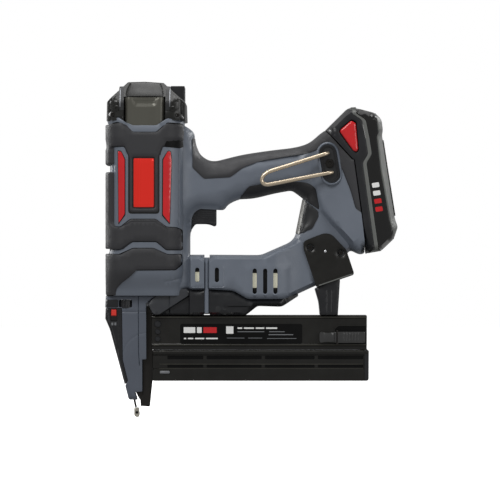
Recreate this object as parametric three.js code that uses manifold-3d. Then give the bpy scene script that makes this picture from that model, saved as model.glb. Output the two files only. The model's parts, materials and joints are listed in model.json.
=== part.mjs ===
// Cordless brad nailer, in millimetres, +Z up. The tool stands upright on its contact tip, the
// drive axis is vertical, the nose points down and the magazine and the battery are to the rear (+X).
// The origin is the centre of the contact tip's lower face; -Y is the side with the belt hook.

import * as THREE from 'three';
import { mergeVertices } from 'three/addons/utils/BufferGeometryUtils.js';
import Module from 'manifold-3d';

const wasm = await Module();
wasm.setup();

// ---- driving dimensions -------------------------------------------------------------------
const DRIVE_X = 8.2; // the drive axis stands this far behind the contact tip
const GAP = 0.3; // clearance between touching pieces
const WALL = 2.8; // moulded plastic wall
const SPLIT = 0.15; // half of the gap between the left and right halves

const HEAD = { front: -37.2, rear: 36.2, half: 37, corner: 20, bottom: 113.8, floor: 121.2, top: 275.8 };
const HANDLE_HALF = 17.5;
const ARM_HALF = 27;
const UNDERSHELL_HALF = 24;
const CORE_HALF = 17.3;
const NOSE_HALF_LOW = 9.5; // half-width of the nose shroud at its lower end
const NOSE_TAPER = 0.0773; // growth of that half-width per millimetre upwards
const NOSE_LOW = 16.1;

const STROKE = 82;
const LIFTER = { y: 16.7, z: 129.5, pitchRadius: 13.9, pins: 8, pinRadius: 1.6, discRadius: 15.9 };
const PISTON_LOW = 242.5; // underside of the piston with the driver ready to fire
const SLEEVE = { outer: 21, inner: 19, bottom: 160.4, top: 262 };
const CHAMBER = { outer: 31, inner: 28, bottom: 186, top: 268 };
const BLADE = { front: -5, back: 0.9, thickness: 1.6, tip: 92.5, toothHeight: 3, toothWidth: 4.25 };

const GEAR_MODULE = 0.982;
const GEAR_TEETH = 22;
const PINION_TEETH = 12;
const GEAR_X = [22, 28];

const MAGAZINE = { front: 6.6, rear: 206.9, half: 12.5, bottom: 34.1, split: 63.2, top: 95.5 };
const CHANNEL_HALF = 5.5;
const BATTERY_HALF = 37.2;
const SEAM_LOW = new THREE.Vector2(205.1, 152.9); // lower end of the face between foot and battery
const SEAM_HIGH = new THREE.Vector2(193.7, 240.1);
const CELL = { radius: 9.1, length: 65, pitch: 19.2, x: 218.1, z: 175.5, count: 5 };
const HOOK_WIRE_RADIUS = 1.65;
const HOOK_Y = -32;

const ROUND = 24; // sides of a large round piece
const SMALL_ROUND = 12;
const CURVE_STEPS = 3;

// ---- shape helpers ------------------------------------------------------------------------
function toSolid(geometry) {
  geometry.deleteAttribute('normal');
  geometry.deleteAttribute('uv');
  const merged = mergeVertices(geometry, 1e-4);
  const vertProperties = new Float32Array(merged.attributes.position.array);
  const triVerts = new Uint32Array(merged.index.array);
  return new wasm.Manifold(new wasm.Mesh({ numProp: 3, vertProperties, triVerts }));
}

function toGeometry(solid) {
  const mesh = solid.getMesh();
  const geometry = new THREE.BufferGeometry();
  geometry.setAttribute('position', new THREE.BufferAttribute(new Float32Array(mesh.vertProperties), 3));
  geometry.setIndex(new THREE.BufferAttribute(new Uint32Array(mesh.triVerts), 1));
  geometry.computeVertexNormals();
  return geometry;
}

function joined(solids) {
  return solids.reduce((sum, solid) => sum.add(solid));
}

function cut(solid, tools) {
  return tools.reduce((left, tool) => left.subtract(tool), solid);
}

function vectors(points) {
  return points.map(([x, y]) => new THREE.Vector2(x, y));
}

// A closed outline whose corners are rounded with a curve that starts `radius` from each corner.
function outline(points, radius = 0) {
  const corners = vectors(points);
  if (radius === 0) return new THREE.Shape(corners);
  const shape = new THREE.Shape();
  corners.forEach((corner, i) => {
    const before = corners[(i + corners.length - 1) % corners.length];
    const after = corners[(i + 1) % corners.length];
    const reachBack = Math.min(radius, corner.distanceTo(before) * 0.45);
    const reachOn = Math.min(radius, corner.distanceTo(after) * 0.45);
    const start = corner.clone().add(before.clone().sub(corner).setLength(reachBack));
    const end = corner.clone().add(after.clone().sub(corner).setLength(reachOn));
    if (i === 0) shape.moveTo(start.x, start.y);
    else shape.lineTo(start.x, start.y);
    shape.quadraticCurveTo(corner.x, corner.y, end.x, end.y);
  });
  return shape;
}

// The same outline moved inwards by `wall`.
function inset(points, wall) {
  const corners = vectors(points);
  const turn = Math.sign(THREE.ShapeUtils.area(corners));
  return corners.map((corner, i) => {
    const before = corners[(i + corners.length - 1) % corners.length];
    const after = corners[(i + 1) % corners.length];
    const first = corner.clone().sub(before).normalize();
    const second = after.clone().sub(corner).normalize();
    const firstIn = new THREE.Vector2(-first.y * turn, first.x * turn);
    const secondIn = new THREE.Vector2(-second.y * turn, second.x * turn);
    const miter = wall / (1 + firstIn.dot(secondIn));
    return [corner.x + (firstIn.x + secondIn.x) * miter, corner.y + (firstIn.y + secondIn.y) * miter];
  });
}

function extruded(shape, length, bevel) {
  return new THREE.ExtrudeGeometry(shape, {
    depth: length - 2 * bevel,
    bevelEnabled: bevel > 0,
    bevelSize: bevel,
    bevelOffset: -bevel,
    bevelThickness: bevel,
    bevelSegments: 1,
    curveSegments: CURVE_STEPS,
  });
}

// An XZ outline given thickness along Y.
function alongY(shape, low, high, bevel = 0) {
  const geometry = extruded(shape, high - low, bevel);
  geometry.rotateX(Math.PI / 2);
  geometry.translate(0, high - bevel, 0);
  return toSolid(geometry);
}

// An XY outline given height along Z.
function alongZ(shape, low, high, bevel = 0) {
  const geometry = extruded(shape, high - low, bevel);
  geometry.translate(0, 0, low + bevel);
  return toSolid(geometry);
}

// A YZ outline given length along X.
function alongX(shape, low, high) {
  const geometry = extruded(shape, high - low, 0);
  const axes = new THREE.Matrix4().makeBasis(
    new THREE.Vector3(0, 1, 0),
    new THREE.Vector3(0, 0, 1),
    new THREE.Vector3(1, 0, 0),
  );
  geometry.applyMatrix4(axes);
  geometry.translate(low, 0, 0);
  return toSolid(geometry);
}

// An XZ outline whose half-thickness is halfAt(x, z), a linear function, so that its sides stay flat.
function tapered(points, halfAt, radius = 0) {
  const geometry = extruded(outline(points, radius), 2, 0);
  geometry.rotateX(Math.PI / 2);
  geometry.translate(0, 1, 0);
  const position = geometry.attributes.position;
  for (let i = 0; i < position.count; i += 1) {
    position.setY(i, position.getY(i) * halfAt(position.getX(i), position.getZ(i)));
  }
  return toSolid(geometry);
}

function box([x0, x1], [y0, y1], [z0, z1]) {
  const geometry = new THREE.BoxGeometry(x1 - x0, y1 - y0, z1 - z0);
  geometry.translate((x0 + x1) / 2, (y0 + y1) / 2, (z0 + z1) / 2);
  return toSolid(geometry);
}

function rodZ(radius, x, y, [z0, z1], sides = ROUND) {
  const geometry = new THREE.CylinderGeometry(radius, radius, z1 - z0, sides);
  geometry.rotateX(Math.PI / 2);
  geometry.translate(x, y, (z0 + z1) / 2);
  return toSolid(geometry);
}

function rodX(radius, y, z, [x0, x1], sides = ROUND) {
  const geometry = new THREE.CylinderGeometry(radius, radius, x1 - x0, sides);
  geometry.rotateZ(Math.PI / 2);
  geometry.translate((x0 + x1) / 2, y, z);
  return toSolid(geometry);
}

function rodY(radius, x, z, [y0, y1], sides = ROUND) {
  const geometry = new THREE.CylinderGeometry(radius, radius, y1 - y0, sides);
  geometry.translate(x, (y0 + y1) / 2, z);
  return toSolid(geometry);
}

function rectangle(x0, x1, y0, y1) {
  return [[x0, y0], [x1, y0], [x1, y1], [x0, y1]];
}

// A wire of round section along a curve.
function wire(curve, radius, steps, sides) {
  const section = new THREE.Shape();
  section.absarc(0, 0, radius, 0, Math.PI * 2);
  const options = { steps, curveSegments: sides / 2, extrudePath: curve, bevelEnabled: false };
  return toSolid(new THREE.ExtrudeGeometry(section, options));
}

// A coil spring about a vertical line.
function coil(x, y, [z0, z1], radius, wireRadius, turns) {
  const low = z0 + wireRadius;
  const rise = z1 - z0 - 2 * wireRadius;
  const points = [];
  const stepsPerTurn = 8;
  for (let i = 0; i <= turns * stepsPerTurn; i += 1) {
    const angle = (i / stepsPerTurn) * Math.PI * 2;
    const height = low + (rise * i) / (turns * stepsPerTurn);
    points.push(new THREE.Vector3(x + radius * Math.cos(angle), y + radius * Math.sin(angle), height));
  }
  return wire(new THREE.CatmullRomCurve3(points), wireRadius, turns * stepsPerTurn, 6);
}

const parts = new THREE.Group();
parts.position.x = DRIVE_X;

function addPart(name, solid, color, roughness, metalness = 0) {
  const material = new THREE.MeshStandardMaterial({ color, roughness, metalness });
  const mesh = new THREE.Mesh(toGeometry(solid), material);
  mesh.name = name;
  parts.add(mesh);
}

const GREY = 0x69707a;
const BLACK = 0x26262a;
const RUBBER = 0x3e3e40;
const RED = 0xc81e22;
const STEEL = 0xa8a8ac;
const DARK_STEEL = 0x55555a;
const CAST = 0x9a9ca0;

// ---- housing ------------------------------------------------------------------------------
const HANDLE_OUTLINE = [
  [20, 275.8], [36.2, 273.3], [45.2, 266.9], [47.3, 254], [51.6, 244.5], [62.3, 238.6], [90.3, 245.7],
  [116.4, 249.6], [139.9, 252.2], [152.9, 256.1], [163.4, 262], [163.4, 200], [147, 204.5], [139, 210.6],
  [135.5, 211.9], [120.9, 209.3], [101.3, 204.4], [86.9, 203.7], [77.3, 199.1], [73.5, 193.3],
  [67.3, 194], [50.6, 194.6], [42, 187.4], [42, 119], [20, 119],
];
const FOOT_OUTLINE = [
  [146, 254], [152.9, 256.1], [163.4, 265.2], [167.1, 267.6], [192.2, 239.9], [193.3, 239.9],
  [204.7, 153.2], [200.1, 152.2], [190.9, 156.9], [188, 157.2], [174.2, 171.8], [166.7, 172.9],
  [150.3, 166.5], [139.8, 163], [140.2, 171.8], [146.8, 204.8],
];
const ARM_OUTLINE = [
  [30, 152], [107.8, 151.5], [135.3, 163.7], [141, 168], [146.5, 163.5], [146.5, 118], [130.4, 110.2],
  [95.5, 110], [81.7, 117.9], [59.8, 119], [30, 119],
];
const CORE_OUTLINE = [
  [120, 151.8], [135.3, 163.7], [140, 169], [140, 176], [170, 176], [190.9, 156.9], [186.9, 150],
  [160.2, 123.6], [142.8, 115.6], [130.4, 110.2], [120, 110.2],
];
const MOTOR = { z: LIFTER.z, radius: 17, gearboxRadius: 16.5 };
const BRACKET_SCREWS = [[153.8, 158.7], [182.3, 153.7]];

function footHalf(x) {
  return 15 + (x - 140) * 0.35;
}

// A point on the plane between foot and battery: `up` along the seam and `out` into the battery.
function seamPoint(up, out) {
  const along = SEAM_HIGH.clone().sub(SEAM_LOW).normalize();
  return [SEAM_LOW.x + along.x * up + along.y * out, SEAM_LOW.y + along.y * up - along.x * out];
}

function seamRectangle([up0, up1], [out0, out1]) {
  return [seamPoint(up0, out0), seamPoint(up0, out1), seamPoint(up1, out1), seamPoint(up1, out0)];
}

function housingSolid() {
  const headPlan = rectangle(HEAD.front, HEAD.rear, -HEAD.half, HEAD.half);
  const outer = joined([
    alongZ(outline(headPlan, HEAD.corner), HEAD.bottom, HEAD.top),
    alongY(outline(HANDLE_OUTLINE), -HANDLE_HALF, HANDLE_HALF, 5),
    tapered(FOOT_OUTLINE, footHalf),
    alongY(outline(ARM_OUTLINE), -ARM_HALF, ARM_HALF, 4),
    alongY(outline(CORE_OUTLINE), -CORE_HALF, CORE_HALF),
  ]);
  const innerHead = rectangle(HEAD.front + 3, HEAD.rear - 3, 3 - HEAD.half, HEAD.half - 3);
  const hollows = [
    alongZ(outline(innerHead, HEAD.corner - 3), HEAD.floor, HEAD.top + 5),
    box([-30, 33], [-14, 33.8], [100, HEAD.floor + 1]),
    alongY(outline(inset(HANDLE_OUTLINE, WALL)), WALL - HANDLE_HALF, HANDLE_HALF - WALL),
    tapered(inset(FOOT_OUTLINE, WALL), (x) => footHalf(x) - WALL),
    alongY(outline(inset(ARM_OUTLINE, WALL)), WALL - ARM_HALF, ARM_HALF - WALL),
    alongY(outline(inset(CORE_OUTLINE, WALL)), WALL - CORE_HALF, CORE_HALF - WALL),
    box([1.2, 60], [-40, 40], [100, 118.7]),
    rodX(MOTOR.radius + 0.4, 0, MOTOR.z, [69, 109]),
    rodX(MOTOR.gearboxRadius + 0.4, 0, MOTOR.z, [46.6, 69]),
    box([42, 66.8], [-8.5, 8.5], [172, 212]),
    alongY(outline(seamRectangle([13.6, 60.4], [-7.4, 5])), -12, 12),
  ];
  for (const [x, z] of BRACKET_SCREWS) hollows.push(rodY(2.5, x, z, [-20, 20], SMALL_ROUND));
  const vents = [
    { x: [46.7, 50.7], z: [126.5, 140] }, { x: [65.1, 68.8], z: [126.5, 140] },
    { x: [100.2, 103.9], z: [115.7, 139.1] }, { x: [109.8, 113.7], z: [115.7, 139.1] },
    { x: [119.3, 123.2], z: [115.7, 139.1] },
  ];
  for (const { x, z } of vents) hollows.push(box(x, [-30, 30], z));
  return cut(outer, hollows);
}

function halfSpace(side) {
  const range = side < 0 ? [-60, -SPLIT] : [SPLIT, 60];
  return box([-100, 300], range, [-10, 400]);
}

function buildHousing() {
  const whole = housingSolid();
  addPart('housing_left', whole.intersect(halfSpace(-1)), GREY, 0.5);
  addPart('housing_right', whole.intersect(halfSpace(1)), GREY, 0.5);
}

function buildArmUndershell() {
  const points = [
    [1.8, 106.6], [6.9, 96], [94, 96], [104.7, 103.9], [127.5, 103.2], [142.8, 113.2],
    [142.3, 115], [130.4, 109.6], [95.5, 109.4], [81.7, 117.3], [59.8, 118.2], [41.8, 118.1], [11.2, 115.7],
  ];
  const hollow = [[9.5, 98.8], [92.8, 98.8], [100.5, 104.5], [94, 106.6], [81, 114.5], [9.5, 114.5]];
  const shell = cut(alongY(outline(points), -UNDERSHELL_HALF, UNDERSHELL_HALF), [
    alongY(outline(hollow), WALL - UNDERSHELL_HALF, UNDERSHELL_HALF - WALL),
    box([8, 80], [WALL - UNDERSHELL_HALF, UNDERSHELL_HALF - WALL], [112, 125]),
    box([0, 20], [-13, 13], [90, 125]),
    rodX(MOTOR.radius + 0.4, 0, MOTOR.z, [69, 109]),
    rodX(MOTOR.gearboxRadius + 0.4, 0, MOTOR.z, [46.6, 69]),
  ]);
  addPart('arm_undershell', shell, BLACK, 0.35);
}

// ---- cap on top of the head ---------------------------------------------------------------
function buildCap() {
  const side = [
    [-35.7, 276.2], [-35.2, 293.5], [-15.7, 312.5], [0, 312.9], [17.4, 311.7], [38.2, 292.5], [38.8, 276.2],
  ];
  const front = [[-35, 276.2], [-35, 293.5], [-20, 312.9], [20, 312.9], [35, 293.5], [35, 276.2]];
  const plan = rectangle(-35.7, 38.8, -35, 35);
  const blank = alongY(outline(side), -36, 36)
    .intersect(alongX(outline(front), -40, 40))
    .intersect(alongZ(outline(plan, 14), 270, 320));
  const cap = cut(blank, [
    box([-32, 35], [-31.5, 31.5], [270, 290]),
    box([-19.1, 19.1], [-40, 40], [270, 298.2]),
    box([23.6, 45], [-18.4, 18.4], [293.9, 320]),
  ]);
  addPart('head_cap', cap, BLACK, 0.25);
  const barrel = joined([
    box([-18.7, 18.7], [-14.5, 14.5], [268.6, 297.8]),
    rodZ(18.7, 0, -14.5, [268.6, 297.8]),
    rodZ(18.7, 0, 14.5, [268.6, 297.8]),
  ]);
  addPart('cylinder_cap', barrel, 0x45454a, 0.45, 0.3);
  const louvres = [];
  for (let i = 0; i < 5; i += 1) louvres.push(box([30, 40], [-14, 14], [296 + i * 2.5, 297.2 + i * 2.5]));
  addPart('vent_block', cut(box([24, 36.7], [-18, 18], [294.3, 309]), louvres), BLACK, 0.5);
}

// ---- gas spring, piston and driver --------------------------------------------------------
function buildGasSpring() {
  const chamber = cut(rodZ(CHAMBER.outer, 0, 0, [CHAMBER.bottom, CHAMBER.top]), [
    rodZ(CHAMBER.inner, 0, 0, [CHAMBER.bottom + 4, CHAMBER.top - 4]),
    rodZ(SLEEVE.outer + 0.4, 0, 0, [CHAMBER.bottom - 5, CHAMBER.bottom + 10]),
  ]);
  addPart('gas_chamber', chamber, CAST, 0.35, 0.9);
  const sleeve = cut(rodZ(SLEEVE.outer, 0, 0, [SLEEVE.bottom, SLEEVE.top]), [
    rodZ(SLEEVE.inner, 0, 0, [SLEEVE.bottom - 5, SLEEVE.top + 5]),
  ]);
  addPart('cylinder_sleeve', sleeve, STEEL, 0.2, 1);
  const bumper = rodZ(20, 0, 0, [148.3, 160]).subtract(rodZ(8, 0, 0, [140, 165], SMALL_ROUND));
  addPart('bumper', bumper, 0x7a3b2a, 0.7);
}

function buildDriver() {
  const pistonTop = PISTON_LOW + 10;
  const piston = rodZ(SLEEVE.inner - 0.4, 0, 0, [PISTON_LOW, pistonTop]).subtract(
    rodZ(SLEEVE.inner + 2, 0, 0, [PISTON_LOW + 4, PISTON_LOW + 6.6]).subtract(
      rodZ(SLEEVE.inner - 2.6, 0, 0, [PISTON_LOW, pistonTop]),
    ),
  );
  addPart('piston', piston, CAST, 0.4, 0.8);
  const ring = rodZ(SLEEVE.inner - 0.2, 0, 0, [PISTON_LOW + 4.3, PISTON_LOW + 6.3]).subtract(
    rodZ(SLEEVE.inner - 2.2, 0, 0, [PISTON_LOW, pistonTop]),
  );
  addPart('piston_seal', ring, 0x202020, 0.6);
  const half = BLADE.thickness / 2;
  const pieces = [box([-half, half], [BLADE.front, BLADE.back], [BLADE.tip, PISTON_LOW - GAP])];
  const spacing = STROKE / LIFTER.pins;
  for (let i = 0; i < LIFTER.pins; i += 1) {
    const centre = LIFTER.z + (i + 0.5) * spacing;
    const zRange = [centre - BLADE.toothWidth / 2, centre + BLADE.toothWidth / 2];
    pieces.push(box([-half, half], [BLADE.back - 1, BLADE.back + BLADE.toothHeight], zRange));
  }
  addPart('driver_blade', joined(pieces), DARK_STEEL, 0.3, 1);
}

// ---- lifter: pin wheel, its shaft, gear and bearings ---------------------------------------
function gear(teeth, firstTooth, y, z, bore) {
  const pitchRadius = (teeth * GEAR_MODULE) / 2;
  const root = pitchRadius - 1.25 * GEAR_MODULE;
  const tip = pitchRadius + 0.85 * GEAR_MODULE;
  const pitch = (Math.PI * 2) / teeth;
  const points = [];
  for (let i = 0; i < teeth; i += 1) {
    const centre = firstTooth + i * pitch;
    for (const [radius, offset] of [[root, -0.3], [tip, -0.12], [tip, 0.12], [root, 0.3]]) {
      const angle = centre + offset * pitch;
      points.push([y + radius * Math.cos(angle), z + radius * Math.sin(angle)]);
    }
  }
  const body = alongX(outline(points), GEAR_X[0], GEAR_X[1]);
  return bore > 0 ? body.subtract(rodX(bore, y, z, [GEAR_X[0] - 5, GEAR_X[1] + 5], SMALL_ROUND)) : body;
}

function buildLifter() {
  const { y, z, pitchRadius, pins, pinRadius, discRadius } = LIFTER;
  const pieces = [
    rodX(discRadius, y, z, [-6.5, -3]),
    rodX(discRadius, y, z, [3, 6.5]),
    rodX(3.7, y, z, [-11.4, 28.4], SMALL_ROUND),
  ];
  const spacing = STROKE / pins / pitchRadius;
  for (let i = 0; i < pins; i += 1) {
    const angle = Math.PI - i * spacing;
    const pinY = y + pitchRadius * Math.cos(angle);
    const pinZ = z + pitchRadius * Math.sin(angle);
    pieces.push(rodX(pinRadius, pinY, pinZ, [-4, 4], 12));
  }
  addPart('lifter_wheel', joined(pieces), STEEL, 0.3, 1);
  addPart('lifter_gear', gear(GEAR_TEETH, Math.PI, y, z, 4), DARK_STEEL, 0.35, 1);
  const bearingX = { lifter_bearing_front: [-11.3, -8.2], lifter_bearing_rear: [8.8, 12.7] };
  for (const [name, x] of Object.entries(bearingX)) {
    const ring = rodX(7, y, z, x, SMALL_ROUND).subtract(rodX(4, y, z, [x[0] - 1, x[1] + 1], SMALL_ROUND));
    addPart(name, ring, STEEL, 0.25, 1);
  }
}

function buildDriveFrame() {
  const cup = cut(rodZ(26.5, 0, 0, [145.7, 170]), [
    rodZ(SLEEVE.outer + 0.4, 0, 0, [148, 175]),
    rodZ(7, 0, 0, [140, 150], SMALL_ROUND),
  ]);
  const plate = [[-12, 104], [12, 104], [12, 116], [28, 116], [28, 146], [-12, 146]];
  const frame = cut(joined([
    cup,
    alongX(outline(plate), -11.5, -8),
    alongX(outline(plate), 8.6, 13),
    box([-11.5, 13], [-12, 12], [104, 108]),
  ]), [
    rodX(7.3, LIFTER.y, LIFTER.z, [-20, 20], SMALL_ROUND),
    box([-2, 2], [-6, 5], [100, 112]),
  ]);
  addPart('drive_frame', frame, CAST, 0.5, 0.8);
}

// ---- motor and gearbox --------------------------------------------------------------------
function buildMotor() {
  const { z, radius, gearboxRadius } = MOTOR;
  const gearbox = rodX(gearboxRadius, 0, z, [47, 68.6]).subtract(rodX(3.5, 0, z, [40, 54], SMALL_ROUND));
  addPart('gearbox', gearbox, CAST, 0.5, 0.7);
  const statorBore = rodX(11.6, 0, z, [60, 120]);
  addPart('motor_stator', rodX(radius, 0, z, [69.4, 108.5]).subtract(statorBore), 0xa25b2c, 0.5, 0.5);
  const rotor = rodX(11.2, 0, z, [71, 107]).add(rodX(2.4, 0, z, [69.4, 122], SMALL_ROUND));
  addPart('motor_rotor', rotor, STEEL, 0.35, 0.9);
  const fan = [rodX(5, 0, z, [112.5, 121], SMALL_ROUND), rodX(15, 0, z, [112.5, 114])];
  const blades = 9;
  for (let i = 0; i < blades; i += 1) {
    const blade = new THREE.BoxGeometry(6.5, 1.2, 10.5);
    blade.rotateZ(0.25);
    blade.translate(0, 0, 9.5);
    blade.rotateX((i / blades) * Math.PI * 2);
    blade.translate(117, 0, z);
    fan.push(toSolid(blade));
  }
  addPart('motor_fan', cut(joined(fan), [rodX(2.7, 0, z, [100, 130], SMALL_ROUND)]), 0x1c1c1e, 0.5);
  const pinionPhase = Math.PI / PINION_TEETH;
  const pinion = gear(PINION_TEETH, pinionPhase, 0, z, 0).add(rodX(3, 0, z, [20, 53], SMALL_ROUND));
  addPart('drive_pinion', pinion, STEEL, 0.3, 1);
}

// ---- nose ---------------------------------------------------------------------------------
function noseHalf(z) {
  return NOSE_HALF_LOW + (z - NOSE_LOW) * NOSE_TAPER;
}

const DEPTH_WHEEL = { x: -18.3, y: -11.4, radius: 6, z: [102.5, 109.8] };

function buildNose() {
  const shroudPoints = [
    [-37.4, 113.5], [-37.9, 103.4], [-37.6, 102.1], [-21.6, 102.1], [-21, 54], [-16.3, 34.4], [-19.2, 29],
    [-16.2, 17.1], [-14.8, 16.1], [-7.6, 16.1], [-10.2, 23.7], [-2.9, 24.2], [-2.9, 54.2], [0.9, 54.4],
    [0.9, 113.5],
  ];
  const shroud = cut(tapered(shroudPoints, (x, z) => noseHalf(z)), [
    box([-18.5, 5], [-7.3, 7.3], [55, 120]),
    box([-14, 5], [-7.3, 7.3], [26, 60]),
    box([-14, 5], [-12.6, 12.6], [97, 120]),
    box([-13.6, -7.9], [-2.5, 2.5], [10, 30]),
    rodZ(DEPTH_WHEEL.radius + 0.5, DEPTH_WHEEL.x, DEPTH_WHEEL.y, [102.1, 110.2], SMALL_ROUND),
  ]);
  addPart('nose_shroud_left', shroud.intersect(halfSpace(-1)), 0x5a6068, 0.5);
  addPart('nose_shroud_right', shroud.intersect(halfSpace(1)), 0x5a6068, 0.5);
  const coverPoints = [
    [-37.2, 101.8], [-37.9, 92.2], [-33.6, 82.2], [-24.3, 47.3], [-19.7, 30.3], [-16.7, 34.5], [-21.4, 54],
    [-22, 101.8],
  ];
  const cover = cut(tapered(coverPoints, (x, z) => noseHalf(z)), [
    box([-32.1, -26.2], [-30, -12.8], [90.2, 105]),
  ]);
  addPart('nose_cover', cover, 0x202226, 0.5);
  const guide = [
    [-2.5, 98], [-2.5, 22], [-4.6, 17], [-4.6, 10.6], [3.9, 10], [3.9, 33], [6.3, 34], [6.3, 98],
  ];
  const nosepiece = cut(joined([
    alongY(outline(guide), -6.9, 6.9),
    box([-8, 13], [-9, 9], [98, 103.7]),
  ]), [
    box([-1.2, 1.2], [-5.6, 4.6], [0, 110]),
    box([0, 10], [-1.3, 1.3], [34, 92]),
  ]);
  addPart('nosepiece', nosepiece, 0x7d7f84, 0.35, 0.9);
  addPart('depth_wheel', depthWheel(), 0x1a1a1c, 0.5);
  const lever = joined([
    box([-31.8, -26.5], [-14.2, -13.1], [94.9, 101.4]),
    box([-31.4, -26.9], [-17.4, -14], [95.6, 100.8]),
  ]);
  addPart('mode_switch', lever, 0xe03830, 0.4);
}

function depthWheel() {
  const { x, y, radius, z } = DEPTH_WHEEL;
  const knurls = 14;
  const notches = [];
  for (let i = 0; i < knurls; i += 1) {
    const angle = (i / knurls) * Math.PI * 2;
    const notchX = x + (radius + 0.2) * Math.cos(angle);
    const notchY = y + (radius + 0.2) * Math.sin(angle);
    notches.push(rodZ(0.7, notchX, notchY, [z[0] - 1, z[1] + 1], 6));
  }
  return cut(rodZ(radius, x, y, z, 28), notches);
}

// ---- contact trip -------------------------------------------------------------------------
function buildContact() {
  const bend = new THREE.CurvePath();
  const knots = [[-11.4, 31], [-11.4, 16.5], [-9, 9.2]].map(([x, z]) => new THREE.Vector3(x, 0, z));
  bend.add(new THREE.QuadraticBezierCurve3(knots[0], knots[1], knots[2]));
  const link = joined([
    box([-12.2, -10.6], [-4, 4], [30, 96]),
    box([-11, -4], [-2.6, 2.6], [60, 62]),
    wire(bend, 1, 12, 8),
  ]);
  addPart('contact_link', link, 0x3a3a3e, 0.4, 0.9);
  const tip = box([-10.7, -5.6], [-3.5, 3.5], [0, 8.6]).subtract(rodY(1.3, -8.2, 4.6, [-6, 6], SMALL_ROUND));
  addPart('contact_tip', tip, 0xc8c8cc, 0.25, 1);
  addPart('contact_spring', coil(-6.4, 0, [62.3, 97.6], 1.7, 0.4, 8), STEEL, 0.3, 1);
}

// ---- trigger ------------------------------------------------------------------------------
function buildTrigger() {
  const points = [
    [42.4, 174.6], [47.3, 180.7], [58.6, 180.7], [64.4, 178.3], [66.3, 179.3], [66.3, 197.5], [56, 197.5],
    [56, 206], [46, 206], [46, 191.4], [42.4, 187.4],
  ];
  addPart('trigger', alongY(outline(points), -8, 8, 1.2), 0x1d1d20, 0.5);
  addPart('trigger_spring', coil(61, 0, [197.8, 212.2], 2.6, 0.4, 4), STEEL, 0.3, 1);
  addPart('trigger_switch', box([46, 70], [-8, 8], [212.6, 228]), 0x141416, 0.5);
}

// ---- belt hook ----------------------------------------------------------------------------
function buildHook() {
  const path = new THREE.CurvePath();
  const at = (x, z) => new THREE.Vector3(x, HOOK_Y, z);
  path.add(new THREE.LineCurve3(at(161.4, 243.4), at(117.1, 229.6)));
  path.add(new THREE.CubicBezierCurve3(at(117.1, 229.6), at(106.5, 226.2), at(106.5, 215.3), at(116, 217.2)));
  path.add(new THREE.LineCurve3(at(116, 217.2), at(164.6, 226.5)));
  addPart('hook_wire', wire(path, HOOK_WIRE_RADIUS, 36, 8), 0xd8b890, 0.25, 1);
  const axis = new THREE.Vector2(3.7, -20.4);
  const across = new THREE.Vector2(-axis.y, axis.x).setLength(7.6);
  const pill = joined([
    rodY(7.6, 169.7, 246.6, [-36, -20], 24),
    rodY(7.6, 173.4, 226.2, [-36, -20], 24),
    alongY(outline([
      [169.7 + across.x, 246.6 + across.y], [169.7 - across.x, 246.6 - across.y],
      [173.4 - across.x, 226.2 - across.y], [173.4 + across.x, 226.2 + across.y],
    ]), -36, -20),
  ]);
  const clear = tapered(FOOT_OUTLINE, (x) => footHalf(x) + GAP);
  const handleClear = alongY(outline(HANDLE_OUTLINE), -HANDLE_HALF - GAP, HANDLE_HALF);
  const block = cut(pill, [
    clear,
    handleClear,
    rodY(4.9, 171.2, 236.6, [-40, -33], SMALL_ROUND),
    rodY(2.4, 171.2, 236.6, [-40, -15], SMALL_ROUND),
  ]);
  addPart('hook_block', block, 0x1c1c1e, 0.5);
  const screw = rodY(4.5, 171.2, 236.6, [-35.6, -33.4], SMALL_ROUND)
    .add(rodY(2, 171.2, 236.6, [-34, -27], SMALL_ROUND))
    .subtract(rodY(2, 171.2, 236.6, [-37, -34.4], 6));
  addPart('hook_screw', screw, STEEL, 0.3, 1);
}

// ---- magazine -----------------------------------------------------------------------------
function buildMagazine() {
  const { front, rear, half, bottom, split, top } = MAGAZINE;
  const upper = outline(rectangle(-half, half, split, top), 3);
  const body = cut(alongX(upper, front, rear), [
    box([front - 5, rear + 5], [-CHANNEL_HALF, CHANNEL_HALF], [split - 5, 92]),
    box([181, rear + 5], [-20, -8.8], [68.9, 81]),
  ]);
  addPart('magazine_body', body, 0x2c2c30, 0.5, 0.3);
  const rail = box([8, 200], [-5.2, -3.6], [38, 91.6]).add(box([8, 200], [-5.2, 5.2], [90.2, 91.6]));
  addPart('magazine_rail', rail, STEEL, 0.3, 1);
  const lower = outline(rectangle(-half, half, bottom, split - GAP), 3);
  const cover = cut(alongX(lower, front, rear + 1.8), [
    box([front - 5, rear - 5], [-CHANNEL_HALF, CHANNEL_HALF], [bottom + 3, split + 5]),
  ]);
  addPart('magazine_cover', cover, 0x26262a, 0.45, 0.3);
  const pusher = box([12, 34], [-3.2, 4.8], [38, 89.5]).subtract(rodY(6.5, 25, 50, [-2.2, 10], 20));
  addPart('pusher', pusher, 0x8a8c90, 0.4, 0.8);
  const roll = rodY(6.1, 25, 50, [-1.8, 4.4], 20).subtract(rodY(2.5, 25, 50, [-5, 10], 12));
  addPart('pusher_spring', roll, STEEL, 0.3, 1);
  const leverPoints = [
    [162.4, 71], [163.8, 69.6], [205.2, 69.6], [205.2, 80.3], [163.8, 80.3], [162.4, 78.9],
  ];
  const lever = alongY(outline(leverPoints), -16.6, -13.2).subtract(rodZ(1.4, 179, -14.9, [60, 90], 12));
  addPart('magazine_latch', lever, 0x1d1d20, 0.5);
  addPart('latch_pin', rodZ(1.1, 179, -14.9, [68.6, 81.3], 12), STEEL, 0.3, 1);
}

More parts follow.
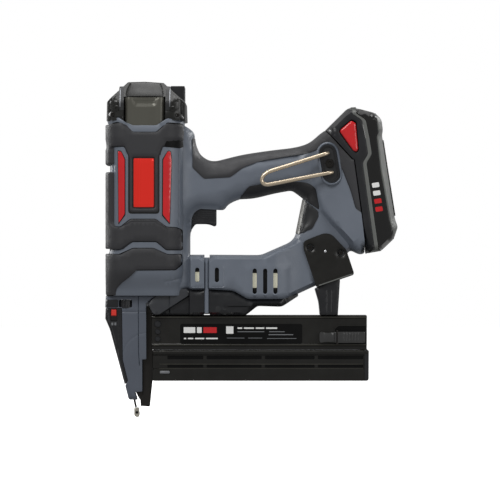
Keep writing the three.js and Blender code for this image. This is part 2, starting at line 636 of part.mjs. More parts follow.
// ---- bracket between the housing and the magazine -----------------------------------------
function buildBracket() {
  const points = [
    [147.4, 157.3], [147.4, 163.7], [150.3, 165.8], [166.7, 172.2], [173.7, 171.1], [187.3, 156.6],
    [194.4, 135.2], [193.7, 133.1], [160.2, 121.7], [158.8, 123.9],
  ];
  const holes = BRACKET_SCREWS.map(([x, z]) => rodY(2.5, x, z, [-30, 30], SMALL_ROUND));
  addPart('bracket_left', cut(alongY(outline(points), -20, -17.8), holes), 0x232326, 0.4, 0.6);
  addPart('bracket_right', cut(alongY(outline(points), 17.8, 20), holes), 0x232326, 0.4, 0.6);
  ['bracket_screw_front', 'bracket_screw_rear'].forEach((name, i) => {
    const [x, z] = BRACKET_SCREWS[i];
    const screw = rodY(2.2, x, z, [-21, 22], SMALL_ROUND)
      .add(rodY(4.2, x, z, [-22.6, -20.3], SMALL_ROUND))
      .add(rodY(3.6, x, z, [20.3, 22.6], 6))
      .subtract(rodY(1.8, x, z, [-24, -21.6], 6));
    addPart(name, screw, STEEL, 0.3, 1);
  });
  const strut = [[160.9, 121.6], [181.5, 142], [181.5, 128], [179.5, 96], [163.1, 96], [162, 107.4]];
  addPart('magazine_strut', alongY(outline(strut), -17.5, 17.5), 0x232326, 0.5);
}

// ---- battery ------------------------------------------------------------------------------
function buildBattery() {
  const parting = [
    [192.5, 289.2], [193.5, 282.3], [202.4, 276.4], [206, 259.7], [208.3, 245], [203.2, 236.9],
    [214.5, 154.2],
  ];
  const moved = (shift) => parting.map(([x, z]) => [x + shift, z]);
  const tray = [
    [167.7, 268.1], [188.1, 288.2], ...moved(-0.2), [206, 152.7], seamPoint(0, 0.4), seamPoint(87.4, 0.4),
    [192.9, 240.4],
  ];
  const shell = [
    ...moved(0.2), [220.3, 155.3], [232, 166.4], [235.7, 176.9], [233.1, 186], [226.1, 230.8], [221.1, 263.9],
    [222, 268.1], [220.8, 278.2], [214.8, 284.4], [200.6, 288.2], [194.8, 289.4],
  ];
  const angle = Math.atan2(SEAM_HIGH.x - SEAM_LOW.x, SEAM_HIGH.y - SEAM_LOW.y);
  const stepX = CELL.pitch * Math.sin(angle);
  const stepZ = CELL.pitch * Math.cos(angle);
  const reach = CELL.radius + 0.5;
  const start = -reach;
  const end = CELL.pitch * (CELL.count - 1) + reach;
  const corner = (up, out) => [
    CELL.x + Math.sin(angle) * up + Math.cos(angle) * out,
    CELL.z + Math.cos(angle) * up - Math.sin(angle) * out,
  ];
  const bayPoints = [corner(start, -reach), corner(start, reach), corner(end, reach), corner(end, -reach)];
  const bay = alongY(outline(bayPoints), -CELL.length / 2 - 0.5, CELL.length / 2 + 0.5);
  const slot = alongY(outline(seamRectangle([-12, 60.8], [-3, 4.5])), -12.2, 12.2);
  const buttonPoints = [[191.7, 276.4], [194.6, 274.6], [198.3, 248.5], [195.9, 246.2], [192.9, 247.3],
    [179.9, 265.7], [181.6, 268.7]];
  const pocket = outline(inset(buttonPoints, -0.5), 1);
  const trayTools = [bay, slot, alongY(pocket, 29, 50), alongY(pocket, -50, -29)];
  const whole = [
    [167.7, 268.1], [188.1, 288.2], [194.8, 289.4], [214.8, 284.4], [220.8, 278.2], [222, 268.1],
    [226.1, 230.8],
    [233.1, 186], [235.7, 176.9], [232, 166.4], [220.3, 155.3], [206, 152.7], [193, 240],
  ];
  const block = alongY(outline(whole), -BATTERY_HALF, BATTERY_HALF, 3);
  const trayBlank = block.intersect(alongY(outline(tray), -40, 40));
  const shellBlank = block.intersect(alongY(outline(shell), -40, 40));
  addPart('battery_tray', cut(trayBlank, trayTools), BLACK, 0.3);
  addPart('battery_shell', shellBlank.subtract(bay), BLACK, 0.3);
  for (let i = 0; i < CELL.count; i += 1) {
    const ends = [-CELL.length / 2, CELL.length / 2];
    const cell = rodY(CELL.radius, CELL.x + stepX * i, CELL.z + stepZ * i, ends, 20);
    addPart(`battery_cell_${i + 1}`, cell, 0x2f6f8f, 0.4);
  }
  const button = outline(buttonPoints, 2);
  addPart('battery_button_left', alongY(button, -37.5, -33, 0.8), RED, 0.3);
  addPart('battery_button_right', alongY(button, 33, 37.5, 0.8), RED, 0.3);
}

function buildElectronics() {
  const board = box([176, 177.6], [-14, 14], [186, 226]).add(box([171, 176.5], [-9, 9], [195, 212]));
  addPart('control_board', board, 0x1f5a34, 0.6);
  const block = alongY(outline(seamRectangle([14, 60], [-7, 4])), -11.6, 11.6);
  addPart('terminal_block', block, 0x18181a, 0.5);
}

buildHousing();
buildArmUndershell();
buildCap();
buildGasSpring();
buildDriver();
buildLifter();
buildDriveFrame();
buildMotor();
buildNose();
buildContact();
buildTrigger();
buildHook();
buildMagazine();
buildBracket();
buildBattery();
buildElectronics();

const group = new THREE.Group();
group.add(parts);

export default group;
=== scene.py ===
import json
import math

import bpy
import numpy as np
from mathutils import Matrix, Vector
from mathutils.geometry import delaunay_2d_cdt


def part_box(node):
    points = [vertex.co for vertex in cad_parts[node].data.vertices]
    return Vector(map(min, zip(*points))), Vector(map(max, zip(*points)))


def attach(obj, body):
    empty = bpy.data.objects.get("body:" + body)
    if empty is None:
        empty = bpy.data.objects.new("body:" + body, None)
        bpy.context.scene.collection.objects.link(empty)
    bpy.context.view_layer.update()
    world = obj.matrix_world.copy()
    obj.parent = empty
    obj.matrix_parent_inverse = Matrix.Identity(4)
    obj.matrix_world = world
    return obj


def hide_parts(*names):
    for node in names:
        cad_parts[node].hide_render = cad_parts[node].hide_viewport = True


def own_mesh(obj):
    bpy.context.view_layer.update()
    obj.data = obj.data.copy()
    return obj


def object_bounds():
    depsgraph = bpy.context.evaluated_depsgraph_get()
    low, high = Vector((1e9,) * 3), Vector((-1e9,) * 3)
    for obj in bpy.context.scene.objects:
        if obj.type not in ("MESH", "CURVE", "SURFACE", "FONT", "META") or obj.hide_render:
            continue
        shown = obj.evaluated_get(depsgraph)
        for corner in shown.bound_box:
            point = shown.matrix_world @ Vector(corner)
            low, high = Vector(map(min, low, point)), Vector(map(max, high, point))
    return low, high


# Looks of the cordless brad nailer. Outlines are in millimetres in the XZ plane of the drive axis, the same
# numbers as the CAD source; -Y is the side with the belt hook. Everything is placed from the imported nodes.
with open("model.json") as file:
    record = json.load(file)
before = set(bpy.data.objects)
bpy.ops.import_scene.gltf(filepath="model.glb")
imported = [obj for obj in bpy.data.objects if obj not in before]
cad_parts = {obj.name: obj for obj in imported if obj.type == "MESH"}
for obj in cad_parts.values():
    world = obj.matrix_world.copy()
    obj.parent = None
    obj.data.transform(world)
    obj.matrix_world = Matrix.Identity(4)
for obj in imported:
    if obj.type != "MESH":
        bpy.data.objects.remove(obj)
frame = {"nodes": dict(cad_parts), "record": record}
CAD_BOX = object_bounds()

BODIES = {
    name: body for body, members in frame["record"]["behaviour"]["bodies"].items() for name in members
}

MM = 0.001
AXIS_X = sum(corner.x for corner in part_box("cylinder_sleeve")) / 2 / MM
PARTING = 0.12  # half of the seam between the left and right halves
WALL = 2.5  # thickness of the moulded shells
TINY = 1e-9
SIDES = (("left", -1), ("right", 1))


# ---- outlines -----------------------------------------------------------------------------
def split_sides(line, step, closed=True):
    """The same line with every side cut into pieces no longer than step."""
    ends = np.roll(line, -1, 0) if closed else line[1:]
    points = []
    for start, end in zip(line, ends):
        count = max(1, math.ceil(np.linalg.norm(end - start) / step))
        points += [start + (end - start) * k / count for k in range(count)]
    if not closed:
        points.append(line[-1])
    return np.array(points)


def outline(points, radius=0.0, step=1.8):
    """A closed loop with rounded corners; a point's third number is its own corner radius."""
    corners = [np.array(p[:2], float) for p in points]
    radii = [p[2] if len(p) > 2 else radius for p in points]
    loop = []
    for i, corner in enumerate(corners):
        back = corners[i - 1] - corner
        on = corners[(i + 1) % len(corners)] - corner
        if radii[i] < 0.05:
            loop.append(corner)
            continue
        start = corner + back * min(radii[i] / np.linalg.norm(back), 0.45)
        end = corner + on * min(radii[i] / np.linalg.norm(on), 0.45)
        count = max(2, min(8, round(radii[i] * 1.5)))
        for t in np.linspace(0, 1, count + 1):
            loop.append((1 - t) ** 2 * start + 2 * t * (1 - t) * corner + t * t * end)
    return split_sides(np.array(loop), step)


def rectangle(x0, x1, z0, z1, radius=0.0, step=1.8):
    return outline([(x0, z0), (x1, z0), (x1, z1), (x0, z1)], radius, step)


def circle(x, z, radius, sides=32):
    angles = np.arange(sides) * 2 * math.pi / sides
    return np.column_stack([x + radius * np.cos(angles), z + radius * np.sin(angles)])


def capsule(a, b, radius, sides=14):
    """The outline of two equal circles and the band between them."""
    a, b = np.array(a, float), np.array(b, float)
    heading = math.atan2(*(b - a)[::-1])
    turns = np.linspace(-math.pi / 2, math.pi / 2, sides)
    far = [b + radius * np.array([math.cos(heading + t), math.sin(heading + t)]) for t in turns]
    near = [a - radius * np.array([math.cos(heading + t), math.sin(heading + t)]) for t in turns]
    return split_sides(np.array(far + near), 1.8)


def normals(line, closed=True):
    """Unit normals of a line at each of its points."""
    tangent = np.roll(line, -1, 0) - np.roll(line, 1, 0) if closed else np.gradient(line, axis=0)
    normal = np.column_stack([-tangent[:, 1], tangent[:, 0]])
    return normal / np.maximum(np.linalg.norm(normal, axis=1), TINY)[:, None]


def drawn_in(loop, covers, depth, hole=False):
    """The edge of a part moved inwards by depth where one of the covers lies over it."""
    normal = normals(loop)
    normal[inside(loop + normal * 0.05, [loop]) == hole] *= -1
    covered = np.any([inside(loop + normal * 0.6, [cover]) for cover in covers], axis=0).astype(float)
    covered = (np.roll(covered, 1) + covered + np.roll(covered, -1)) / 3
    return loop + normal * (depth * covered)[:, None]


def grown(loop, by):
    """A loop moved outwards all round."""
    normal = normals(loop)
    normal[inside(loop + normal * 0.05, [loop])] *= -1
    return loop + normal * by


def reach(points, lines):
    """Distance from each point to the nearest of several lines, given as (points, closed)."""
    starts = np.vstack([line if closed else line[:-1] for line, closed in lines])
    ends = np.vstack([np.roll(line, -1, 0) if closed else line[1:] for line, closed in lines])
    sides = ends - starts
    lengths = np.maximum((sides**2).sum(1), 1e-12)
    nearest = np.empty(len(points))
    for k in range(0, len(points), 2000):
        offset = points[k : k + 2000, None] - starts[None]
        t = np.clip((offset * sides).sum(2) / lengths, 0, 1)
        nearest[k : k + 2000] = np.linalg.norm(offset - t[..., None] * sides, axis=2).min(1)
    return nearest


def inside(points, loops):
    """Whether each point lies in the region that the loops bound, holes left out."""
    crossings = np.zeros(len(points), int)
    for loop in loops:
        a, b = loop, np.roll(loop, -1, 0)
        spans = (a[None, :, 1] > points[:, None, 1]) != (b[None, :, 1] > points[:, None, 1])
        rise = b[:, 1] - a[:, 1]
        rise = np.where(np.abs(rise) < 1e-12, 1e-12, rise)
        cross_x = a[:, 0] + (points[:, None, 1] - a[:, 1]) * (b[:, 0] - a[:, 0]) / rise
        crossings += (spans & (points[:, None, 0] < cross_x)).sum(1)
    return crossings % 2 == 1


def numbered(loops, lines):
    """The points of loops and open lines in one list, and the edges between them as pairs of indices."""
    points, edges = [], []
    for loop in loops:
        first = len(points)
        points += list(loop)
        edges += [(first + i, first + (i + 1) % len(loop)) for i in range(len(loop))]
    for line in lines:
        first = len(points)
        points += list(line)
        edges += [(first + i, first + i + 1) for i in range(len(line) - 1)]
    return points, edges


def filling(loops, rings, spacing):
    """Sets of points inside the loops, each with its own least gap: rings along the loops, then a grid."""
    closed = [(loop, True) for loop in loops]
    sets = []
    for ring in rings:
        for loop in loops:
            normal = normals(loop)
            normal[~inside(loop + normal * 0.02, loops)] *= -1
            points = loop + normal * ring
            kept = inside(points, loops) & (reach(points, closed) > ring * 0.93)
            sets.append((points[kept], ring * 0.55 + 0.25))
    low, high = loops[0].min(0), loops[0].max(0)
    rows = np.arange(low[1] + 0.31, high[1], spacing * 0.87)
    grid = np.array([
        (x + (spacing / 2 if row % 2 else 0), z)
        for row, z in enumerate(rows) for x in np.arange(low[0] + 0.23, high[0], spacing)
    ])
    clear = (max(rings) if len(rings) else 0) + spacing * 0.45
    kept = inside(grid, loops)
    kept[kept] = reach(grid[kept], closed) > clear
    sets.append((grid[kept], spacing * 0.6))
    return sets


def spaced(sets):
    """The points of the sets in order, without those closer than their gap to one already taken."""
    cells, taken = {}, []
    for points, gap in sets:
        around = range(-math.ceil(gap), math.ceil(gap) + 1)
        for p in points:
            column, row = int(p[0] // 1.0), int(p[1] // 1.0)
            near = (q for i in around for j in around for q in cells.get((column + i, row + j), ()))
            if all((q[0] - p[0]) ** 2 + (q[1] - p[1]) ** 2 > gap * gap for q in near):
                cells.setdefault((column, row), []).append(p)
                taken.append(p)
    return taken


def triangulated(loops, rings, spacing, lines):
    """Triangles of the region inside loops[0] and outside the others, with points in rings along the loops,
    along the given open lines, and on a grid of the given spacing."""
    points, edges = numbered(loops, lines)
    sets = filling(loops, rings, spacing)
    if lines:
        open_lines = [(line, False) for line in lines]
        sets = [(p[reach(p, open_lines) > 0.4] if len(p) else p, gap) for p, gap in sets]
    points += spaced(sets)
    found = delaunay_2d_cdt([Vector(p) for p in points], edges, [], 0, 1e-6)
    flat = np.array([tuple(p) for p in found[0]])
    faces = np.array([f for f in found[2] if len(f) == 3])
    return flat, faces[inside(flat[faces].mean(1), loops)]


# ---- the surfaces that panels lie on --------------------------------------------------------
def smooth(t):
    """A smooth step from 0 to 1 while t goes from 0 to 1."""
    t = np.clip(t, 0, 1)
    return t * t * (3 - 2 * t)


class Side:
    """The side of a part, given by half its width at (x, z); it is rounded off along its rim lines.
    rounding is the radius there, wall the thickness of a shell and least a width it never goes under."""

    def __init__(self, half, rim=(), rounding=6.0, wall=WALL, least=None):
        self.half = half if callable(half) else lambda p: np.full(len(p), float(half))
        self.rounding = rounding if callable(rounding) else lambda p: np.full(len(p), float(rounding))
        self.rim = list(rim)
        self.wall = wall
        self.least = least

    def width(self, points, inset=0.0):
        half = self.half(points) - inset
        if self.rim:
            r = self.rounding(points)
            d = np.clip(reach(points, self.rim) - inset, 0, r)
            half = PARTING + (half - PARTING) * np.sqrt(1 - (1 - d / r) ** 2)
        if self.least:
            half = np.maximum(half, self.least(points) - 0.4 * inset)
        return half

    def outer(self, points, lift):
        width = np.maximum(self.width(points) + lift, PARTING)
        return np.column_stack([points[:, 0], -width, points[:, 1]])

    def under(self, points, depth):
        width = np.maximum(self.width(points) - depth, PARTING)
        return np.column_stack([points[:, 0], -width, points[:, 1]])

    def hollow(self, points):
        width = np.maximum(self.width(points, self.wall), PARTING)
        return np.column_stack([points[:, 0], -width, points[:, 1]])


class Plate(Side):
    """A side with an inner face of its own, given as its distance from the middle at (x, z)."""

    def __init__(self, half, inner):
        super().__init__(half)
        self.inner = inner

    def under(self, points, depth):
        return np.column_stack([points[:, 0], -self.inner(points), points[:, 1]])


class Skin:
    """A pad of even thickness over the side of a part; it runs on round the silhouette to its own rim."""

    def __init__(self, bed, loops, thickness, rim):
        self.bed, self.loops = bed, loops
        self.top = Side(lambda p: bed.half(p) + thickness, rim, lambda p: bed.rounding(p) + thickness)

    def outer(self, points, lift):
        return self.top.outer(points, lift)

    def under(self, points, depth):
        width = np.where(inside(points, self.loops), self.bed.width(points) - depth, PARTING)
        return np.column_stack([points[:, 0], -np.maximum(width, PARTING), points[:, 1]])


class Wrap:
    """The side and the ends of an upright part whose plan is a rectangle with round corners.
    plan(z) gives front, rear, half and corner; points are (distance round the plan, z)."""

    def __init__(self, plan, wall=WALL):
        self.plan, self.wall = plan, wall
        front, rear, half, corner = (float(v[0]) for v in plan(np.array([200.0])))
        bend = corner * math.pi / 2
        self.lengths = [half - corner, bend, rear - front - 2 * corner, bend, half - corner]
        self.starts = np.concatenate([[0], np.cumsum(self.lengths)])
        self.front, self.rear, self.corner = front, rear, corner

    def unrolled(self, loop):
        """A side-view loop, in which x beyond the silhouette runs on across the front or the rear."""
        x = loop[:, 0]
        turn = np.arccos(np.clip((self.front + self.corner - x) / self.corner, -1, 1))
        back_turn = np.arcsin(np.clip((x - self.rear + self.corner) / self.corner, -1, 1))
        s = np.select(
            [x < self.front, x < self.front + self.corner, x < self.rear - self.corner, x < self.rear],
            [
                self.starts[1] + x - self.front,
                self.starts[1] + self.corner * turn,
                self.starts[2] + x - self.front - self.corner,
                self.starts[3] + self.corner * back_turn,
            ],
            self.starts[4] + x - self.rear,
        )
        low, high = 0.0, self.starts[5]
        return np.column_stack([np.clip(s, low, high), loop[:, 1]])

    def at(self, points, out, other=None):
        s, z = points[:, 0], points[:, 1]
        front, rear, half, corner = (other or self).plan(z)
        piece = np.clip(np.searchsorted(self.starts, s, "right") - 1, 0, 4)
        share = (s - self.starts[piece]) / np.array(self.lengths)[piece]
        turn = share * math.pi / 2
        flat = half - corner
        along = front + corner + share * (rear - front - 2 * corner)
        x = np.choose(piece, [
            front, front + corner * (1 - np.cos(turn)), along, rear - corner * (1 - np.sin(turn)), rear,
        ])
        y = np.choose(piece, [
            -flat * share, -flat - corner * np.sin(turn), -half,
            -flat - corner * np.cos(turn), -flat * (1 - share),
        ])
        out_x = np.choose(piece, [-1 + 0 * s, -np.cos(turn), 0 * s, np.sin(turn), 1 + 0 * s])
        out_y = np.choose(piece, [0 * s, -np.sin(turn), -1 + 0 * s, -np.cos(turn), 0 * s])
        return np.column_stack([x + out_x * out, np.minimum(y + out_y * out, -PARTING), z])

    def outer(self, points, lift):
        return self.at(points, lift)

    def under(self, points, depth):
        return self.at(points, -depth)

    def hollow(self, points):
        return self.at(points, -self.wall)


class Pad:
    """A panel that fills the space between one wrapped surface and another beneath it."""

    def __init__(self, top, bed):
        self.top, self.bed = top, bed

    def unrolled(self, loop):
        return self.top.unrolled(loop)

    def outer(self, points, lift):
        return self.top.at(points, lift)

    def under(self, points, depth):
        return self.top.at(points, -depth, self.bed)


# ---- pieces -------------------------------------------------------------------------------
def add_piece(name, body, material, points, faces, slot=None, replaces=(), sharp=50, bevel=0.0):
    """A closed mesh from points in drive-axis millimetres, turned outwards and riding on its body.
    Its slot, or its material's where none is given, is worked out but not used; edges sharper than sharp
    degrees stay hard."""
    points = np.asarray(points, float).copy()
    points[:, 0] += AXIS_X
    triangles = np.array([(f[0], f[i], f[i + 1]) for f in faces for i in range(1, len(f) - 1)])
    a, b, c = (points[triangles[:, k]] for k in range(3))
    if np.einsum("ij,ij->i", a, np.cross(b, c)).sum() < 0:
        faces = [tuple(f)[::-1] for f in faces]
    mesh = bpy.data.meshes.new(name)
    mesh.from_pydata([tuple(p) for p in points * MM], [], [tuple(int(i) for i in f) for f in faces])
    mesh.update()
    mesh.shade_smooth()
    mesh.set_sharp_from_angle(angle=math.radians(sharp))
    mesh.materials.append(material)
    piece = bpy.data.objects.new(name, mesh)
    bpy.context.scene.collection.objects.link(piece)
    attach(piece, body)
    if bevel:
        add_bevel(piece, bevel)
    slot = SLOTS[material.name] if slot is None else slot
    if replaces:
        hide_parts(*replaces)
    return piece


def add_bevel(piece, width):
    bevel = piece.modifiers.new("edge", "BEVEL")
    bevel.width = width * MM
    bevel.segments = 2
    bevel.limit_method = "ANGLE"
    bevel.angle_limit = math.radians(35)
    bevel.harden_normals = False


def closed_sheet(flat_faces, top, bottom):
    """Faces and points of the closed solid between a top and a bottom sheet of the same triangles."""
    count = len(top)
    edges = dict.fromkeys((face[i], face[(i + 1) % 3]) for face in flat_faces for i in range(3))
    rim = [(a, b) for a, b in edges if (b, a) not in edges]
    faces = [tuple(f) for f in flat_faces]
    faces += [(f[2] + count, f[1] + count, f[0] + count) for f in flat_faces]
    faces += [(b, a, a + count, b + count) for a, b in rim]
    return np.vstack([top, bottom]), faces


def creased(surface, creases):
    """Grooves with their lines cut into short sides in the surface's own coordinates."""
    if hasattr(surface, "unrolled"):
        lines = [surface.unrolled(split_sides(np.array(line, float), 1.5, False)) for line, _, _ in creases]
    else:
        lines = [split_sides(np.array(line, float), 1.8, False) for line, _, _ in creases]
    return [(line, width, depth) for line, (_, width, depth) in zip(lines, creases)]


def lifted(flat, loops, rise, edge, creases, shape):
    """How far each point stands off its surface: the rounded edge, the grooves and the shape."""
    d = np.minimum(reach(flat, [(loop, True) for loop in loops]), max(edge, 1e-6))
    if edge > 0:
        lift = rise - edge + np.sqrt(np.maximum(edge**2 - (edge - d) ** 2, 0))
    else:
        lift = rise + 0 * d
    for line, width, depth in creases:
        lift = lift - depth * np.clip(1 - reach(flat, [(line, False)]) / width, 0, 1)
    if shape:
        lift = lift + shape(flat)
    return lift


def lower_sheet(surface, flat, top, under, through):
    """The underside of a panel: its mirror image, the inside of a shell, or some depth down."""
    if through:
        return top * (1, -1, 1)
    if under == "hollow":
        return surface.hollow(flat)
    return surface.under(flat, under)


def panel(name, body, material, surface, loops, rise=0.0, edge=0.6, under=0.4, rings=(), spacing=5.0,
          creases=(), lines=(), shape=None, both=True, through=False, mirrored=False, slot=None,
          replaces=(), sharp=50):
    """A closed panel on a surface, made for both sides unless told otherwise.
    edge is the radius of its edge; under is how far it sinks in, or "hollow" for a shell's own wall;
    creases are grooves, each (line, half-width, depth); lines are for the mesh to follow."""
    loops = [np.asarray(loop, float) for loop in loops]
    if hasattr(surface, "unrolled"):
        loops = [surface.unrolled(loop) for loop in loops]
    creases = creased(surface, creases)
    edge_rings = [edge * share for share in (0.12, 0.4, 1.0)] if edge > 0 else []
    followed = [split_sides(np.array(line, float), 1.8, False) for line in lines]
    for line, width, _ in creases:
        normal = normals(line, closed=False)
        followed += [line, line + normal * width, line - normal * width]
    flat, faces = triangulated(loops, edge_rings + list(rings), spacing, followed)
    top = surface.outer(flat, lifted(flat, loops, rise, edge, creases, shape))
    points, faces = closed_sheet(faces, top, lower_sheet(surface, flat, top, under, through))
    one_side = "right" if mirrored else ""
    for side in ("left", "right") if both else (one_side,):
        flip = (1, -1, 1) if side == "right" else (1, 1, 1)
        label = f"{name}_{side}" if both else name
        stood = [node.format(side=side) for node in replaces]
        if both and side == "right":
            stood = [node for node in stood if node not in replaces]
        add_piece(label, body, material, points * flip, faces, slot, stood, sharp)


def quads_between(rows, sides):
    """The faces between each ring of points and the next."""
    faces = []
    for i in range(rows - 1):
        for k in range(sides):
            n = (k + 1) % sides
            faces.append((i * sides + k, i * sides + n, (i + 1) * sides + n, (i + 1) * sides + k))
    return faces


def tube(name, body, material, path, radius, sides=16, replaces=(), taper=None):
    """A round bar along a path of points, closed at both ends; taper is a share of the radius at each."""
    path = np.array(path, float)
    tangents = np.gradient(path, axis=0)
    tangents /= np.linalg.norm(tangents, axis=1)[:, None]
    up = np.array([0.0, 1.0, 0.0]) if abs(tangents[0][1]) < 0.9 else np.array([1.0, 0.0, 0.0])
    points = []
    for i, (p, t) in enumerate(zip(path, tangents)):
        up = up - t * up.dot(t)
        up /= np.linalg.norm(up)
        across = np.cross(t, up)
        r = radius * (taper[i] if taper is not None else 1)
        angles = np.arange(sides) * 2 * math.pi / sides
        points += [p + r * (math.cos(a) * up + math.sin(a) * across) for a in angles]
    faces = quads_between(len(path), sides)
    faces.append(tuple(range(sides)))
    faces.append(tuple(range((len(path) - 1) * sides, len(path) * sides))[::-1])
    return add_piece(name, body, material, points, faces, replaces=replaces)


def turned(name, body, material, profile, centre, sides=32, slot=None, replaces=(), sharp=40):
    """A piece turned about an axis along y: profile is (radius, y), from the axis back to the axis."""
    angles = np.arange(sides) * 2 * math.pi / sides
    points = [
        np.add(centre, (radius * math.cos(a), along, radius * math.sin(a)))
        for radius, along in profile for a in angles
    ]
    rows = len(profile)
    faces = quads_between(rows, sides)
    faces.append(tuple(range(sides))[::-1])
    faces.append(tuple(range((rows - 1) * sides, rows * sides)))
    return add_piece(name, body, material, points, faces, slot, replaces, sharp)


def stud(name, body, material, profile, place, sign, sides=20, slot=None, replaces=()):
    """A turned piece standing out of one side; place is x, distance from the middle and z."""
    x, y, z = place
    outwards = [(radius, sign * height) for radius, height in profile]
    turned(name, body, material, outwards, (x, sign * y, z), sides, slot, replaces)


def bar_x(name, body, material, section, x0, x1, bevel, replaces=()):
    """A YZ section given length along X."""
    count = len(section)
    points = [(x, y, z) for x in (x0, x1) for y, z in section]
    faces = [tuple(range(count)), tuple(range(count, 2 * count))[::-1]]
    faces += [(i, i + count, (i + 1) % count + count, (i + 1) % count) for i in range(count)]
    add_piece(name, body, material, points, faces, replaces=replaces, sharp=30, bevel=bevel)


def slab(name, body, material, plan, z0, z1, bevel=0.4):
    """A flat plate: an XY outline given thickness."""
    count = len(plan)
    points = [(x, y, z) for z in (z0, z1) for x, y in plan]
    faces = [tuple(range(count))[::-1], tuple(range(count, 2 * count))]
    faces += [(i, (i + 1) % count, (i + 1) % count + count, i + count) for i in range(count)]
    add_piece(name, body, material, points, faces, sharp=30, bevel=bevel)


# ---- materials ----------------------------------------------------------------------------
SLOTS = {}


def linear(code):
    """Linear colour of an sRGB hex code."""
    channels = [int(code[i : i + 2], 16) / 255 for i in (0, 2, 4)]
    return [c / 12.92 if c <= 0.04045 else ((c + 0.055) / 1.055) ** 2.4 for c in channels]


def noise(tree, source, scale, detail):
    """Noise over the coordinates from source."""
    node = tree.nodes.new("ShaderNodeTexNoise")
    node.inputs["Scale"].default_value = scale
    node.inputs["Detail"].default_value = detail
    tree.links.new(source, node.inputs["Vector"])
    return node.outputs["Fac"]


def ramp(tree, source, low, high, start, end):
    """Colours from start to end while source goes from low to high."""
    node = tree.nodes.new("ShaderNodeValToRGB")
    first, last = node.color_ramp.elements
    first.position = low
    last.position = high
    first.color = (*start, 1)
    last.color = (*end, 1)
    tree.links.new(source, node.inputs["Fac"])
    return node.outputs["Color"]


def add_dust(tree, source, tint, base, grain, dust):
    """Paler specks over a tint."""
    specks = ramp(tree, noise(tree, source, grain * 0.35, 2), 0.62, 0.74, (0, 0, 0), (dust, dust, dust))
    mix = tree.nodes.new("ShaderNodeMix")
    mix.data_type = "RGBA"
    mix.inputs["B"].default_value = (*[min(1.0, c * 2.2 + 0.02) for c in base], 1)
    tree.links.new(specks, mix.inputs["Factor"])
    tree.links.new(tint, mix.inputs["A"])
    return mix.outputs["Result"]


def add_gloss(tree, source, shader, patch, roughness, spread):
    """Roughness that wanders by spread about its middle value."""
    rough = tree.nodes.new("ShaderNodeMapRange")
    rough.inputs["From Min"].default_value = 0.3
    rough.inputs["From Max"].default_value = 0.7
    rough.inputs["To Min"].default_value = max(0.03, roughness - spread)
    rough.inputs["To Max"].default_value = min(1.0, roughness + spread)
    tree.links.new(noise(tree, source, patch * 5, 5), rough.inputs["Value"])
    tree.links.new(rough.outputs["Result"], shader.inputs["Roughness"])


def add_grain(tree, source, shader, grain, bump):
    relief = tree.nodes.new("ShaderNodeBump")
    relief.inputs["Strength"].default_value = bump
    relief.inputs["Distance"].default_value = 0.0003
    tree.links.new(noise(tree, source, grain, 3), relief.inputs["Height"])
    tree.links.new(relief.outputs["Normal"], shader.inputs["Normal"])


def finish(name, color, roughness, metallic=0.0, tone=0.08, grain=1100, bump=0.12, patch=28,
           stretch=(1, 1, 1), coat=0.0, spread=0.07, dust=0.0, specular=0.5, sheen=0.0, glow=0.0,
           slot=None):
    """A moulded, painted or metal surface: mottled tone, uneven gloss, fine grain and a little dust.
    slot is stored for pieces that give none, though nothing files them under it."""
    material = bpy.data.materials.new(name)
    SLOTS[material.name] = slot
    material.use_nodes = True
    tree = material.node_tree
    shader = tree.nodes["Principled BSDF"]
    settings = {
        "Metallic": metallic, "Specular IOR Level": specular, "Coat Weight": coat, "Coat Roughness": 0.12,
        "Sheen Weight": sheen, "Sheen Roughness": 0.5, "Emission Color": (*linear(color), 1),
        "Emission Strength": glow,
    }
    for setting, value in settings.items():
        shader.inputs[setting].default_value = value
    place = tree.nodes.new("ShaderNodeTexCoord").outputs["Object"]
    mapping = tree.nodes.new("ShaderNodeMapping")
    mapping.inputs["Scale"].default_value = stretch
    tree.links.new(place, mapping.inputs["Vector"])
    stretched = mapping.outputs["Vector"]
    base = linear(color)
    dark = [c * (1 - tone) for c in base]
    light = [min(1.0, c * (1 + tone) + 0.002) for c in base]
    tint = ramp(tree, noise(tree, stretched, patch, 4), 0.3, 0.7, dark, light)
    if dust:
        tint = add_dust(tree, place, tint, base, grain, dust)
    tree.links.new(tint, shader.inputs["Base Color"])
    add_gloss(tree, stretched, shader, patch, roughness, spread)
    add_grain(tree, stretched, shader, grain, bump)
    return material


GREY = finish("housing_grey", "6b727d", 0.4, tone=0.05, grain=1500, bump=0.10, dust=0.05,
              slot="housing_grey")
NOSE_GREY = finish("nose_grey", "5a606b", 0.42, tone=0.05, grain=1500, bump=0.10, dust=0.05,
                   slot="nose_grey")
BLACK = finish("black_plastic", "1b1c1f", 0.34, tone=0.08, grain=1300, bump=0.12, dust=0.05,
               slot="black_plastic")
SOFT_BLACK = finish("soft_black", "202123", 0.45, tone=0.08, grain=1300, bump=0.15, dust=0.06,
                    slot="black_plastic")
GLOSS = finish("gloss_black", "0e0e0d", 0.2, tone=0.10, grain=900, bump=0.02, coat=0.25, spread=0.04,
               slot="gloss_black")
RUBBER = finish("grip_rubber", "2d2d30", 0.55, tone=0.07, grain=1700, bump=0.28, dust=0.08, sheen=0.04,
                slot="grip_rubber")
DARK_RUBBER = finish("dark_rubber", "19191c", 0.55, tone=0.08, grain=1700, bump=0.28, dust=0.06,
                     sheen=0.03, slot="grip_rubber")
STRIP = finish("strip_grey", "686a67", 0.45, tone=0.06, grain=1400, bump=0.18, dust=0.05, slot="strip_grey")
RED = finish("accent_red", "cf141b", 0.22, tone=0.06, grain=900, bump=0.02, coat=0.5, spread=0.05,
             slot="accent_red")
# The badge glows a little: painted light on its red.
GLOWING_BADGE = finish("badge_red", "e52a1e", 0.3, metallic=0.35, tone=0.10, grain=500, bump=0.16,
               stretch=(1, 1, 0.04), glow=0.12, slot="badge_red")
